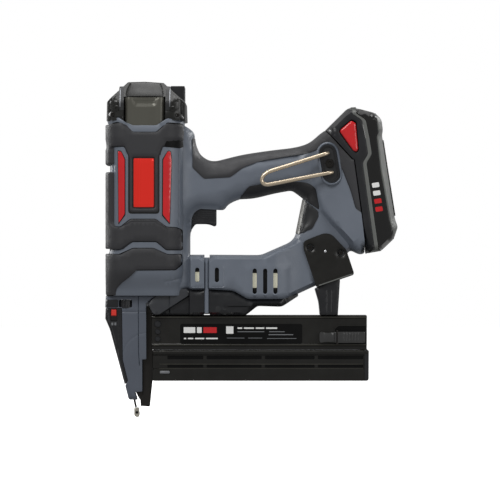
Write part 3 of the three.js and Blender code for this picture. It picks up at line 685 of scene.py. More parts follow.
SWITCH_RED = finish("switch_red", "e0352a", 0.35, tone=0.05, grain=1200, bump=0.05)
CAST = finish("cast_metal", "8f9195", 0.42, metallic=0.9, tone=0.10, grain=700, bump=0.35)
BRIGHT = finish("bright_steel", "c4c5c8", 0.22, metallic=1.0, tone=0.05, grain=600, bump=0.10,
                stretch=(1, 0.1, 1), slot="bright_steel")
DARK_STEEL = finish("dark_steel", "2f2d2b", 0.34, metallic=0.75, tone=0.12, grain=600, bump=0.15,
                    stretch=(1, 1, 0.1), slot="dark_steel")
HOOK = finish("hook_steel", "dccbb2", 0.25, metallic=0.8, tone=0.03, grain=300, bump=0.004, spread=0.02,
              slot="hook_steel")
METAL = finish("black_metal", "1a1916", 0.34, metallic=0.2, tone=0.10, grain=1500, bump=0.14, dust=0.08,
               slot="black_metal")
URETHANE = finish("bumper_urethane", "7a3b2a", 0.6, tone=0.08, bump=0.10)
SEAL = finish("seal_rubber", "202020", 0.6, tone=0.08, bump=0.15)
COPPER = finish("winding_copper", "a25b2c", 0.32, metallic=0.9, tone=0.15, grain=420, bump=0.8,
                stretch=(1, 0.2, 0.2))
CELL = finish("cell_wrap", "2f6f8f", 0.3, tone=0.06, bump=0.03, coat=0.3)
BOARD = finish("board_green", "1f5a34", 0.4, tone=0.12, grain=300, bump=0.25)
WHITE = finish("label_white", "f2f2f0", 0.4, tone=0.03, bump=0.03, slot="label_white")
LABEL_GREY = finish("label_grey", "77797c", 0.45, tone=0.03, bump=0.03, slot="label_white")
SATIN = finish("satin_cap", "5b5a52", 0.36, metallic=0.35, tone=0.12, grain=800, bump=0.10,
               stretch=(1, 1, 0.12), slot="cast_metal")
CAP = finish("cap_black", "151512", 0.3, tone=0.10, grain=1300, bump=0.05, spread=0.05, slot="gloss_black")
# A lighter olive grey: the leg's own grey strip, and on the magazine painted highlight along the edges where
# the bevels catch the light.
EDGE = finish("edge_grey_and_highlight", "45443d", 0.36, metallic=0.3, tone=0.15, grain=900, bump=0.1, slot="black_metal")
# A lighter copy of the black plastic for the latch lever: painted highlight standing in for the light on it.
LIT_LEVER = finish("lever_black_lit", "353535", 0.34, tone=0.10, grain=1300, bump=0.1, slot="black_plastic")
TIP = finish("contact_tip", "b9b5a8", 0.35, metallic=0.5, tone=0.12, grain=900, bump=0.2,
             slot="bright_steel")
# Cream nylon with a little emission: painted light that makes the sleeves glow through the vents.
GLOWING_NYLON = finish("inner_nylon_glow", "f3f0d8", 0.35, tone=0.05, bump=0.05, glow=0.3)
# A lighter copy of the black plastic for the undershell's front facet: painted light where the facet shows
# lighter than the shaded black round it.
FACET = finish("facet_black_lit", "34363a", 0.42, tone=0.08, grain=1300, bump=0.12, dust=0.05,
               slot="black_plastic")
# Near-black: the label's own ground, and painted shade in the joints round the rubber bands, behind the
# cover slots and in the latch recess.
INK_AND_SHADE = finish("label_black_and_shade", "050505", 0.5, tone=0.1, bump=0.03, specular=0.15, slot="gloss_black")
# A lighter copy of the strip grey for the outer strip on the pack's rounded rim: painted light that offsets
# its shade.
LIT_STRIP_COPY = finish("strip_painted_lighter", "6b6d6a", 0.45, tone=0.06, grain=1400, bump=0.18, dust=0.05,
                     slot="strip_grey")


# ---- head -----------------------------------------------------------------------------------
def head_plan(z):
    """Front, rear, half-width and corner radius of the head at height z."""
    z = np.asarray(z, float)
    skirt = smooth((138 - z) / 24)
    flare = smooth((z - 272.5) / 2.5)
    half = 35.4 - 11.2 * skirt + 1.2 * flare
    front = -32.6 - 3.6 * smooth((160 - z) / 20) - 2.4 * flare
    rear = 36.2 + 0 * z
    return front, rear, half, 18.2 - 6 * skirt


def rubber_plan(z):
    """The same for the rubber round the head."""
    z = np.asarray(z, float)
    skirt = smooth((138 - z) / 24)
    return -36.9 + 0 * z, 36.8 + 0 * z, 36.9 - 11.6 * skirt, 20.0 - 7 * skirt


HEAD = Wrap(head_plan)
COAT = Pad(Wrap(rubber_plan), HEAD)
FRONT = -53.8  # past the middle of the front, so that a loop runs on to the seam
REAR = 54.5

COLLAR_TOP = [
    (REAR, 276.4), (37.2, 276.4), (33, 277.4, 2), (21.1, 278.1, 1.5), (11, 271.7, 1), (-11.4, 271.7, 1),
    (-21.6, 279.2, 1.5), (-35.3, 279.2), (FRONT, 279.2),
]
UPPER_BAND = [
    (FRONT, 272.7), (-34.9, 272.7, 1), (-21.6, 274.4, 1.5), (-11.4, 265.2, 1.5), (11, 265.2, 1.5),
    (21.1, 273.8, 1.5), (32.9, 273.2, 1), (36.1, 272.2, 1), (36.2, 252.9, 1), (32.4, 251.1, 1),
    (16.8, 252.4, 1.5), (12.6, 241.8, 1.5), (12.6, 191.2, 3), (-13.6, 191.2, 3), (-13.6, 241.8, 1.5),
    (-18.3, 252.4, 1.5), (-31.2, 252.4, 1), (-32.3, 250.6, 0.6), (-32.3, 235.6, 1), (FRONT, 235.6),
]
MIDDLE_BAND = [
    (FRONT, 228.6), (-32.3, 228.6, 1), (-32.3, 181, 2), (-29.5, 177.8, 1), (-22.1, 177.6, 1.5),
    (-13, 184.8, 1.5), (10.5, 184.8, 1.5), (20.6, 177.4, 1.5), (29.7, 177.1, 1.5), (34.6, 174.7, 1),
    (34.8, 156.6, 1), (20.3, 156.6, 1.5), (11.2, 164.3, 1.5), (-11.3, 164.3, 1.5), (-22.5, 156.9, 1.5),
    (-36.9, 157.4), (FRONT, 157.4),
]
LOWER_BAND = [
    (FRONT, 152.9), (-36.9, 152.9), (-22.5, 152.1, 1.5), (-10.7, 157.9, 1.5), (8.5, 157.9, 1.5),
    (21.3, 152.1, 1.5), (34.1, 152.3, 1), (34.3, 143, 1.5), (28.7, 138.2, 1), (-7.3, 137.9, 1.5),
    (-22.2, 120.1, 1.5), (-22.2, 114.3, 0.5), (FRONT, 114.3),
]
ACCENTS = {
    "accent_front": [(-24.2, 248), (-21.3, 247.3), (-18.1, 239.8), (-18.1, 189.6), (-23.6, 181.1)],
    "accent_rear": [(21.6, 247.6), (24, 247.6), (24.9, 238.7), (23.2, 181.1), (17.1, 189.1), (17.4, 239.8)],
}


def round_coat(x):
    """How far round the rubber the place x on its side lies."""
    return COAT.unrolled(np.array([[x, 0]]))[0, 0]


def build_head_shell():
    floor = rectangle(-30, 30, -22.5, 22.5, 9)
    slab("head_floor", "tool", GREY, floor, 114.2, 116.4, 0.5)
    shell = outline([(FRONT, 113.8), (REAR, 113.8), *COLLAR_TOP], step=1.6)
    seams = [
        ([(-28.6, 249), (-28.6, 181)], 0.7, 0.7),
        ([(31.6, 247), (31.6, 181)], 0.7, 0.7),
        ([(18, 127.4), (26, 128.4), (34.5, 130.6)], 0.8, 0.5),
        ([(-16.2, 250), (-16, 186.5)], 0.5, 0.35),
        ([(15, 250), (14.9, 187)], 0.5, 0.35),
    ]
    panel("housing_head", "tool", GREY, HEAD, [shell], edge=0.8, under="hollow", spacing=4.5, creases=seams,
          replaces=["housing_{side}"])


def build_upper_band():
    def let_down(points):
        """The two wings of the band drop towards their lower edge, the rear one more."""
        s, z = points[:, 0], points[:, 1]
        to_rear = smooth((s - round_coat(17.0)) / 3)
        to_front = 0.4 * smooth((round_coat(-17.0) - s) / 3)
        return -2.0 * (to_rear + to_front) * smooth((259 - z) / 4) * (z > 249)

    window = rectangle(-10.9, 9.6, 195, 242.1, 1.2)
    panel("rubber_upper", "tool", RUBBER, COAT, [outline(UPPER_BAND, step=1.6), window], edge=0.9,
          under=0.3, spacing=3, shape=let_down)


def build_badge():
    # Painted shadow: gloss-black sheets round the badge frame and in the groove round the badge.
    shadow = outline([(-15, 244), (-15, 189.9, 3.4), (14, 189.9, 3.4), (14, 244), (12, 246), (-12, 246)])
    panel("badge_surround_shadow", "tool", GLOSS, HEAD, [shadow], rise=0.3, edge=0.2, under=0.3)
    bed = rectangle(-12, 10.7, 193.6, 243.2, 1)
    panel("badge_bed", "tool", GLOSS, HEAD, [bed], rise=0.7, edge=0.2, under=0.3)
    middle, half, crown = round_coat(-0.65), 9.3, 0.7
    panel("badge", "tool", GLOWING_BADGE, COAT, [rectangle(-9.9, 8.6, 196, 241.1, 1)], edge=0.4, under=0.9,
          spacing=2, shape=lambda p: crown - crown * ((p[:, 0] - middle) / half) ** 2)


def build_lower_bands():
    fold = ([(-24, 176), (-12.2, 182.5), (9.8, 182.5), (21.5, 175.6)], 0.8, 0.35)
    panel("rubber_middle", "tool", RUBBER, COAT, [outline(MIDDLE_BAND, step=1.6)], edge=0.9, under=0.3,
          spacing=4, creases=[fold])
    panel("rubber_lower", "tool", RUBBER, COAT, [outline(LOWER_BAND, step=1.6)], edge=0.9, under=0.3,
          spacing=4)


def build_band_shadows():
    """Painted shade: a near-black strip along the joint between each band and the shell it lies in."""
    for name, points in (("upper", UPPER_BAND), ("middle", MIDDLE_BAND), ("lower", LOWER_BAND)):
        joint = grown(outline(points, step=1.6), 0.55)
        panel(f"rubber_edge_{name}", "tool", INK_AND_SHADE, HEAD, [joint], rise=0.2, edge=0.1, under=0.3, spacing=6)


def build_accents():
    for name, points in ACCENTS.items():
        centre = np.mean(points, 0)
        bed = [tuple(centre + (np.array(p) - centre) * (1.22, 1.03)) for p in points]
        panel(f"{name}_bed", "tool", GLOSS, HEAD, [outline(bed, 0.8)], rise=0.25, edge=0.15, under=0.3)
        panel(name, "tool", RED, HEAD, [outline(points, 0.8)], rise=1.0, edge=0.7, under=0.2, spacing=3)


# ---- handle, arm and foot ---------------------------------------------------------------------
GRIP_TOP = [
    (8, 273.6), (36.2, 273.3, 4), (45.2, 266.9, 4), (46.3, 260.5, 4), (47.3, 254, 6), (51.6, 244.5, 6),
    (62.3, 238.6, 8), (90.3, 245.7, 10), (116.4, 249.6, 10), (139.9, 252.2, 10), (152.9, 256.1, 8),
    (163.4, 265.2, 2), (167.2, 267.9),
]
FOOT_SEAM = [(192.3, 240.1, 1), (193.9, 240.1, 1), (200.6, 191.2)]
UNDERSIDE = [
    (205, 153.2, 2), (200.1, 151.9, 4), (190.9, 156.4, 4), (186.9, 149.5, 3), (160.2, 123.4, 2),
    (142.8, 115.4, 4), (130.4, 109.9, 3), (95.5, 109.7, 3), (81.7, 117.6, 3), (59.8, 118.8, 2), (8, 118.8),
]
WINDOW = [
    (41.8, 152), (55, 152), (55, 149.4), (59.8, 149.4), (59.8, 152), (107.8, 151.7, 4), (135.3, 163.7, 5),
    (139.6, 168.7, 3), (140.2, 171.8, 2), (146.8, 204.6, 2), (139, 210.6, 5), (135.5, 211.9, 5),
    (120.9, 209.3, 8), (101.3, 204.4, 8), (86.9, 203.7, 5), (77.3, 199.1, 5), (73.5, 193.5, 4),
    (67.3, 194, 2), (50.6, 194.8, 2), (45.6, 191.4, 3), (43.2, 186.4, 2), (42.7, 174, 0.6),
    (41.8, 172.6, 0.6),
]
UPPER_GRIP = [
    (46.3, 260.7, 0.3), (47.3, 254, 6), (51.6, 244.5, 6), (62.3, 238.6, 8), (90.3, 245.7, 10),
    (116.4, 249.6, 10), (139.9, 252.2, 10), (152.9, 256.1, 8), (163.4, 265.2, 2), (167.2, 267.9),
    (192.1, 240.2, 1), (193.7, 240.2, 1), (200.3, 191.4, 1), (195.3, 194.7, 2), (190.7, 211.3, 3),
    (182.4, 232.6, 3), (176.4, 239.2, 6), (168, 259.5, 8), (159.5, 247.7, 10), (129.5, 243.1, 10),
    (107, 239.2, 5), (92.3, 233.8, 4), (79.4, 224.2, 2), (54.9, 222.6, 1.5), (44.2, 232.8, 1.5),
    (44.2, 260.6, 1),
]
LOWER_GRIP = [
    (87.9, 203.8, 0.6), (101.3, 204.4, 8), (120.9, 209.3, 8), (135.5, 211.9, 3), (139, 210.6, 3),
    (146.9, 204.7, 1), (148.3, 203.6, 0.5), (161.8, 193.8, 1), (161.9, 197, 2), (158.7, 213.6, 2),
    (153.9, 217.8, 2), (147.4, 219.6, 4), (120.9, 220.1, 8), (96.4, 215.7, 3),
]
LEG_PAD = [
    (146.7, 203.9, 0.5), (148.2, 202.9, 0.5), (160.8, 193, 1), (161.6, 187.6, 2), (155.7, 176.3, 2),
    (142.3, 171, 0.6), (140.3, 172.1, 0.4),
]
FOOT_PLATE = [
    (168, 266), (191.9, 239.6), (193.4, 239.6), (200.1, 191.2), (204.4, 154), (202, 153.8), (197.7, 191),
    (191.4, 236.9), (190.6, 237.1), (166.6, 263.6),
]
CREASE_Z = [109, 156.6, 163.5, 172.5, 183, 192.9, 215, 262]  # where the foot starts to flare, bottom to top
CREASE_X = [194, 190.9, 188, 180, 170, 161.5, 154, 148]
VENTS = {  # x, lower end, upper end
    0: (48.7, 126.5, 140), 1: (66.95, 126.5, 140), 2: (102.05, 115.7, 139.1), 3: (111.75, 115.7, 139.1),
    4: (121.25, 115.7, 139.1),
}
SLEEVES = {0: (127.0, 136.0), 2: (121.2, 134.9), 4: (121.2, 134.9)}  # seen through a vent: z from, to
GROOVE = (55.0, 59.8)  # the pillar of the arm stands in it
GROOVE_LINES = (GROOVE[0], GROOVE[0] + 0.35, GROOVE[1] - 0.35, GROOVE[1])
PAD_THICKNESS = 0.8


def in_groove(x):
    return smooth((x - GROOVE[0]) / 0.3) * smooth((GROOVE[1] - x) / 0.3)


def body_half(points):
    """Half-width of the handle, the leg, the flared foot and the motor arm."""
    x, z = points[:, 0], points[:, 1]
    slim, widest = 17.4, 36.4
    neck = 6 * np.exp(-np.maximum(x - 34, 0) / 7)
    flare = np.maximum(0, 0.36 * (x - 148)) * smooth((x - np.interp(z, CREASE_Z, CREASE_X)) / 6)
    arm = 9.2 * smooth((150 - x) / 34) * smooth((x - 41.2) / 1.4) * smooth((178 - z) / 8)
    across = smooth((134 - x) / 1.2) * smooth((x - 92) / 1.2)
    raised = 0.7 * across * smooth((142 - z) / 1.2) * smooth((z - 111) / 2)
    groove = 3.2 * in_groove(x) * (z < 153)
    return np.minimum(slim + flare, widest) + np.maximum(arm, neck) + raised * (z < 145) - groove


def body_rounding(points):
    """Radius of the body's edges: full on the handle, tight on the arm."""
    x, z = points[:, 0], points[:, 1]
    handle = 13 - 7 * smooth((x - 142) / 18)
    arm = np.where(z < 126, 2.2, 4.5) + 2 * smooth((x - 128) / 12)
    return arm + (handle - arm) * smooth((z - 172) / 12)


def trigger_opening(points):
    """The halves stay apart round the trigger."""
    x, z = points[:, 0], points[:, 1]
    return 9.0 * smooth((x - 38) / 3) * smooth((72 - x) / 4) * smooth((z - 168) / 4) * smooth((204 - z) / 4)


def crossing(loop, low, high):
    """The part of a rim between two heights, in order of x."""
    part = loop[(loop[:, 1] > low) & (loop[:, 1] < high)]
    return part[np.argsort(part[:, 0])]


def body_rims(silhouette, window):
    """The edges that the body is rounded off to: top of the handle, underside of the arm and the window."""
    top = crossing(silhouette, 236, 275)
    return [(top[top[:, 0] < 168], False), (crossing(silhouette, 100, 160), False), (window, True)]


class BodyParts:
    """The outlines and surfaces that the pieces of the handle, arm and foot share."""

    silhouette = outline([*GRIP_TOP, *FOOT_SEAM, *UNDERSIDE])
    window = outline(WINDOW)
    pads = [outline(points, step=1.5) for points in (UPPER_GRIP, LOWER_GRIP, LEG_PAD)]
    skin = drawn_in(silhouette, pads, PAD_THICKNESS)
    hole = drawn_in(window, pads, PAD_THICKNESS, True)
    surface = Side(body_half, body_rims(skin, hole), body_rounding, least=trigger_opening)
    cover = Skin(surface, [skin, hole], PAD_THICKNESS, body_rims(silhouette, window))


def body_lines():
    """For the mesh to follow: sides of the groove and the raised panel, the step, the foot's crease."""
    lines = [[(x, 149), (x, 119.5)] for x in GROOVE_LINES]
    lines += [[(x, 141), (x, 114 if x > 100 else 116)] for x in (92, 93.2, 132.8, 134)]
    lines += [[(x, 150.5), (x, 120)] for x in (41.2, 42.6)]
    crease = np.column_stack([CREASE_X, CREASE_Z])[2:]
    return lines + [crease + (shift, 0) for shift in (0, 2, 4, 6)]


def sunk_under_pads(points):
    depth = [inside(points, [pad]) * smooth(reach(points, [(pad, True)]) / 1.6) for pad in BodyParts.pads]
    return -0.6 * sum(depth)


def build_body_shell():
    vents = [capsule((x, low + 1.9), (x, high - 1.9), 1.9, 8) for x, low, high in VENTS.values()]
    creases = [
        ([(110, 148), (135, 159), (141, 163.5)], 0.9, 0.3),
        ([(62.5, 122), (72.5, 122), (73.8, 124), (73.8, 141)], 0.6, 0.35),
        ([(43.8, 122), (52.5, 122)], 0.6, 0.35),
    ]
    panel("housing_body", "tool", GREY, BodyParts.surface, [BodyParts.skin, BodyParts.hole, *vents],
          edge=0.5, under="hollow", shape=sunk_under_pads, rings=(1.2, 2.4, 4.2, 6.6, 9.4, 12.6),
          spacing=3.4, creases=creases, lines=body_lines())


def build_foot_plate():
    """Closes the foot where the battery slides on."""
    behind = Side(lambda p: np.maximum(BodyParts.surface.width(p) - 1.8, 0.4))
    panel("foot_plate", "tool", BLACK, behind, [outline(FOOT_PLATE, 0.3)], edge=0.2, through=True,
          both=False, spacing=4)


def build_grip_pads():
    names = (("grip_upper", RUBBER), ("grip_lower", DARK_RUBBER), ("leg_panel", SOFT_BLACK))
    for (name, material), pad in zip(names, BodyParts.pads):
        panel(name, "tool", material, BodyParts.cover, [pad], edge=0.5, under=0.3,
              rings=(1.5, 2.7, 4.2, 6.2, 8.6), spacing=3, slot="grip_rubber")
    strip = [(140.4, 171.9, 0.3), (146.7, 203.6, 0.3), (149.3, 201.9, 0.3), (143.4, 171.2, 0.3)]
    panel("leg_edge", "tool", EDGE, BodyParts.cover, [outline(strip, step=1.5)], rise=0.15, edge=0.2,
          under=0.5, rings=(0.6, 1.1), spacing=2, slot="strip_grey")


def build_vent_insides():
    # The sleeves take the glowing nylon: painted light.
    for i, (low, high) in SLEEVES.items():
        x = VENTS[i][0]
        panel(f"inner_sleeve_{i}", "tool", GLOWING_NYLON, Side(21.5, wall=2),
              [rectangle(x - 2.4, x + 2.4, low, high, 1)], edge=0.8, under=1.6, spacing=2.5)
    panel("inner_shade", "tool", SOFT_BLACK, Side(19.3), [rectangle(44, 126, 116, 142.5, 2)], edge=0.3,
          under=0.8, spacing=8, slot="")


def build_arm_pillars():
    middle = sum(GROOVE) / 2
    for side, sign in SIDES:
        path = [(middle, sign * 22.6, z) for z in np.linspace(149, 97.8, 12)]
        tube(f"arm_pillar_{side}", "tool", GREY, path, 2.05)


# ---- undershell of the arm ---------------------------------------------------------------------
UNDERSHELL = [
    (1.4, 106.9, 0.6), (6.9, 95.2), (54.6, 95.2), (54.6, 96.4), (60, 96.4), (60, 95.2), (93.6, 95.2, 2),
    (104.7, 103.9, 2), (127.5, 103.2, 3), (143, 113.3, 1), (142.6, 115.9, 1), (130.4, 112.5, 2),
    (96.5, 112.5, 2), (82.7, 120.5, 2), (59.8, 121.5, 1), (24, 121.5, 1), (11.2, 116, 1.5),
]
FACET_OUTLINE = [
    (1.9, 107, 0.5), (7.1, 96.4), (12, 95.8), (39.9, 113.8), (39.9, 120.9), (24, 120.9), (11.6, 115.4),
]


def facet_foot(x):
    """Height of the sloping lower edge of the facet on the front of the undershell."""
    return 91 + (x - 6.9) * 0.645


def undershell_half(p):
    x, z = p[:, 0], p[:, 1]
    behind = smooth((x - 40.5) / 1.2)
    facet = smooth((z - facet_foot(x)) / 1.5)
    low = 1.6 * smooth((104.5 - z) / 1.0) * smooth((x - 74) / 1.5)
    groove = 3.4 * in_groove(x)
    front = 17.6 + 3.8 * facet - 1.5 * smooth((23.5 - x) / 1.2)
    sloping = 0.5 * smooth((z - 112.5) / 0.8) * smooth((x - 72) / 1)
    full = front + (23.4 - front) * behind - low - groove - sloping
    return np.minimum(full, body_half(p) - 3.2 + 20 * smooth((43 - x) / 2))


def build_undershell():
    rim = outline(UNDERSHELL)
    surface = Side(undershell_half, [(rim, True)], 1.6)
    lines = [[(x, 120), (x, 98.6)] for x in GROOVE_LINES]
    lines += [[(x, 120), (x, 97)] for x in (40.5, 41.7)]
    lines += [[(x, 115), (x, 97)] for x in (22.3, 23.5)]
    lines += [[(x, facet_foot(x) + up), (40, facet_foot(40) + up)] for x, up in ((16, 0), (14, 1.5))]
    lines += [[(75, z), (98, z)] for z in (104.5, 103.5)]
    panel("arm_undershell", "tool", BLACK, surface, [rim], edge=0.3, under="hollow", rings=(0.7, 1.1, 1.6),
          spacing=3.4, lines=lines, replaces=["arm_undershell"])
    # The facet takes the lighter copy of the black: painted light.
    panel("undershell_facet", "tool", FACET, surface, [outline(FACET_OUTLINE)], rise=0.14, edge=0.12,
          under=0.3, rings=(0.7, 1.3), spacing=2.5, lines=[[(x, 119.6), (x, 104.4)] for x in (22.3, 23.5)])
    panel("undershell_boss", "tool", SOFT_BLACK, surface, [circle(68, 101.5, 2.8, 20)], rise=0.5, edge=0.4,
          under=0.3, spacing=2)


# ---- cap ------------------------------------------------------------------------------------
CAP_WINGS = {
    "front": [(-33.8, 287), (-33.6, 292.4, 1), (-25, 300.8, 0.6), (-25, 287)],
    "rear": [(26.4, 286.6), (26.4, 301.4, 0.6), (36.2, 291.9, 1), (36.7, 286.2)],
}
CAP_CENTRE = [
    (-18.6, 298.6), (18.4, 298.6), (17, 306), (14.8, 311.4, 0.5), (8, 312.3, 4), (0, 312.5, 4),
    (-8, 312.4, 4), (-14, 311.8, 0.5), (-16.8, 306),
]
CAP_BANDS = {
    "front": [(-34.9, 279.6), (-21.7, 279.6), (-19.8, 278.2), (-19.8, 285.3), (-30.2, 285.3, 1.5),
              (-33, 283, 1.5)],
    "rear": [(38.1, 276.9), (32.8, 277.9), (21.6, 278.7), (19.6, 277.4), (19.6, 284.9), (31.4, 284.9, 1.5),
             (34.5, 281.6, 1.5)],
}
CYLINDER_TAB = 290.1  # lower edge of the pressed pocket in the cylinder cap


def cap_half(p):
    """Half-width of the cap: round corners in plan, sloping in towards the top."""
    x, z = p[:, 0], p[:, 1]
    widest, corner = 35, 14.0
    ahead = np.clip(corner - (x + 35.7), 0, corner)
    behind = np.clip(corner - (38.8 - x), 0, corner)
    plan = widest - corner + np.sqrt(corner**2 - np.maximum(ahead, behind) ** 2)
    return np.minimum(plan, widest - np.maximum(z - 293.5, 0) * 0.773)


def drum_half(p):
    return cap_half(p) + 2.4 * (1 - np.clip(p[:, 0] / 18.6, -1, 1) ** 2)


def build_cap_cover():
    surface = Side(cap_half, wall=3)
    for name, points in CAP_WINGS.items():
        panel(f"cap_wing_{name}", "tool", CAP, surface, [outline(points, 0.5)], rise=0.7, edge=0.5,
              under=0.5, spacing=2.4)
    panel("cap_centre", "tool", CAP, Side(drum_half, wall=3), [outline(CAP_CENTRE)], edge=0.6, under=3,
          rings=(1.8,), spacing=2.4, slot="black_plastic")
    for name, points in CAP_BANDS.items():
        panel(f"cap_band_{name}", "tool", CAP, surface, [outline(points)], rise=1.2, edge=0.7, under=0.5,
              spacing=3)
    for name, x, edge in (("front", -21.3, -23.0), ("rear", 22.1, 23.0)):
        panel(f"cap_slot_{name}", "tool", SOFT_BLACK, surface,
              [rectangle(x - 2.3, x + 2.1, 285.8, 308.3, 0.8)], rise=0.25, edge=0.15, under=0.4,
              spacing=2.5)
        panel(f"cap_strip_{name}", "tool", CAST, surface, [rectangle(edge, edge + 0.9, 288.8, 306.4, 0.3)],
              rise=0.7, edge=0.5, under=0.2, spacing=2, slot="bright_steel")


def build_cap_stud(name, x, z, material, radius, height, slot):
    profile = [
        (0, 0), (radius, 0), (radius, height - 0.5), (radius - 0.5, height), (1.2, height),
        (1.2, height - 0.9), (0, height - 0.9),
    ]
    y = cap_half(np.array([[x, z]]))[0]
    for side, sign in SIDES:
        stud(f"{name}_{side}", "tool", material, profile, (x, y, z), sign, slot=slot)


def build_cap_studs():
    build_cap_stud("cap_boss_front", -25.9, 287.4, CAP, 2.7, 1.6, "black_plastic")
    build_cap_stud("cap_boss_rear", 26.3, 286.8, CAP, 2.7, 1.6, "black_plastic")
    build_cap_stud("cap_screw_front", -29.3, 281.9, DARK_STEEL, 2.1, 2.1, "bright_steel")
    build_cap_stud("cap_screw_rear", 30.4, 281.2, DARK_STEEL, 2.1, 2.1, "bright_steel")


def barrel_plan(z):
    z = np.asarray(z, float)
    return -18.7 + 0 * z, 18.7 + 0 * z, 33.2 + 0 * z, 5.0 + 0 * z


def build_cylinder_cap():
    barrel = Wrap(barrel_plan, wall=3)
    middle = barrel.starts[2] + barrel.lengths[2] / 2

    def pocket(p):
        """A shallow pocket pressed into the side, wider towards the top."""
        half = 9.2 + np.clip((p[:, 1] - CYLINDER_TAB) / 7, 0, 1) * 3
        return -1.3 * smooth((half - np.abs(p[:, 0] - middle)) / 1.1) * smooth((p[:, 1] - 290) / 1.1)

    skin = outline([(-33.5, 268.8), (33.5, 268.8), (33.5, 297.9), (-33.5, 297.9)], step=1.6)
    panel("cylinder_cap", "tool", SATIN, barrel, [skin], edge=0.6, under="hollow", spacing=1.7,
          shape=pocket, replaces=["cylinder_cap"])
    slab("cylinder_cap_lid", "tool", SATIN, rectangle(-17.6, 17.6, -32, 32, 8), 294.4, 297.0)


# ---- nose -----------------------------------------------------------------------------------
NOSE_FRONT = [
    (-37.4, 113.4), (-37.9, 103.4), (-37.6, 102.1), (-37.9, 92.2), (-33.6, 82.2), (-24.3, 47.3),
    (-19.4, 29.5), (-16.2, 17.1), (-14.8, 16.1), (-7.6, 16.1),
]
SHROUD = [
    (-37.4, 113.4), (-37.9, 103.4), (-37.6, 102.3), (-21.6, 102.3, 0.4), (-21, 54), (-16.3, 34.4, 0.6),
    (-19.2, 29.2, 0.5), (-16.2, 17.1, 1), (-14.8, 16.1, 0.5), (-7.6, 16.1, 0.4), (-10.2, 23.7, 0.5),
    (-2.9, 24.2, 0.4), (-2.9, 54.2, 0.3), (0.9, 54.4, 0.4), (0.9, 106.6), (9.4, 113.4),
]
NOSE_COVER = [
    (-37.3, 101.8), (-37.9, 92.2, 1), (-33.6, 82.2, 2), (-24.3, 47.3), (-19.7, 30.3, 0.5),
    (-16.7, 34.5, 0.5), (-21.4, 54), (-22, 101.8),
]
NOSE_CORE = [
    (-36, 112), (-36.4, 93), (-32.2, 81), (-23, 47), (-18.2, 31), (-15.6, 18), (-9.8, 17.6),
    (-11.8, 25.6), (-4, 25.8), (-4, 55.8), (-0.6, 56), (-0.6, 112),
]
CONTACT_TIP = [
    (-10.8, 8.7, 0.8), (-6.5, 9.0, 0.8), (-5.6, 2.6, 1), (-6.4, 0.05, 1), (-9.2, 0.05, 1), (-10.8, 1.8, 1),
]
NOSEPIECE_FEET = {
    "nosepiece_toe": [(-2.7, 24.4), (-9.2, 24.0), (-6.5, 18.7), (-4.8, 16.0), (-4.6, 10.9), (-2.7, 10.7)],
    "nosepiece_heel": [(3.4, 10.3), (3.9, 10.3), (6.2, 33.8), (3.4, 33.8)],
}
WHEEL_WINDOW = rectangle(-24.4, -12.2, 102.9, 110.0, 1.2)
SWITCH_WINDOW = rectangle(-32.3, -26.1, 90.3, 101.3, 0.6)


def nose_half(p):
    return 9.5 + (p[:, 1] - 16.1) * 0.0773


NOSE = Side(nose_half, [(np.array(NOSE_FRONT, float), False)], 3.2, wall=2.2)


def build_nose_shroud():
    creases = [
        ([(-6.3, 112.6), (-6.3, 60), (-5.4, 49.2)], 0.5, 0.9),
        ([(-20.6, 61), (-18, 68), (-12.5, 74), (-6.5, 77.6), (0.4, 79.4)], 0.6, 0.28),
        ([(-20.8, 98.9), (-7.2, 98.9)], 0.45, 0.4),
        ([(-5.4, 98.9), (0.5, 98.9)], 0.45, 0.4),
    ]
    panel("nose_shroud", "tool", NOSE_GREY, NOSE, [outline(SHROUD), WHEEL_WINDOW], edge=0.45,
          under="hollow", rings=(1.1, 2.2, 3.4), spacing=3.5, creases=creases,
          replaces=["nose_shroud_{side}"])


def build_nose_cover():
    crease = ([(-24.6, 99), (-24.2, 55), (-19.6, 37.5)], 0.5, 0.3)
    panel("nose_cover", "tool", BLACK, NOSE, [outline(NOSE_COVER), SWITCH_WINDOW], edge=0.45,
          under="hollow", rings=(1.1, 2.2, 3.4), spacing=3.5, replaces=["nose_cover"], creases=[crease])
    sunk = Side(lambda p: nose_half(p) - 2.4)
    panel("switch_bed", "tool", GLOSS, sunk, [rectangle(-33, -25.6, 89.6, 101.9)], edge=0.2, under=1,
          spacing=3)
    for i, x in enumerate((-30.6, -27.8)):
        mark = rectangle(x - 0.9, x + 0.9, 86.2, 88.8, 0.3)
        panel(f"mode_mark_{i + 1}", "tool", LABEL_GREY, NOSE, [mark], rise=0.12, edge=0.05, under=0.1,
              spacing=1.5, both=False)


def build_nose_core():
    """What shows dark between the shroud and the cover."""
    sunk = Side(lambda p: nose_half(p) - 2.6)
    panel("nose_core", "tool", BLACK, sunk, [outline(NOSE_CORE), WHEEL_WINDOW, SWITCH_WINDOW], edge=0.2,
          under=0.9, spacing=6)


def build_contact_tip():
    eye_x, eye_z = -8.2, 4.3
    loops = [outline(CONTACT_TIP, step=0.8), circle(eye_x, eye_z, 1.35, 16)]
    panel("contact_tip", "contact_trip", TIP, Side(3.5), loops, edge=0.7, through=True, both=False,
          spacing=1.2, replaces=["contact_tip"])
    panel("contact_tip_eye", "contact_trip", BLACK, Side(1.5), [circle(eye_x, eye_z, 1.5, 16)], edge=0.2,
          through=True, both=False, spacing=1)


def build_nosepiece_feet():
    for name, points in NOSEPIECE_FEET.items():
        panel(name, "tool", DARK_STEEL, Side(6.7), [outline(points, 0.4)], edge=0.5, through=True,
              both=False, spacing=3)


def build_nose_front():
    panel("front_dark", "tool", BLACK, NOSE, [rectangle(-37.2, -24.9, 103, 110.2, 1.2)], rise=0.35,
          edge=0.3, under=0.2, rings=(1.2,), spacing=3)


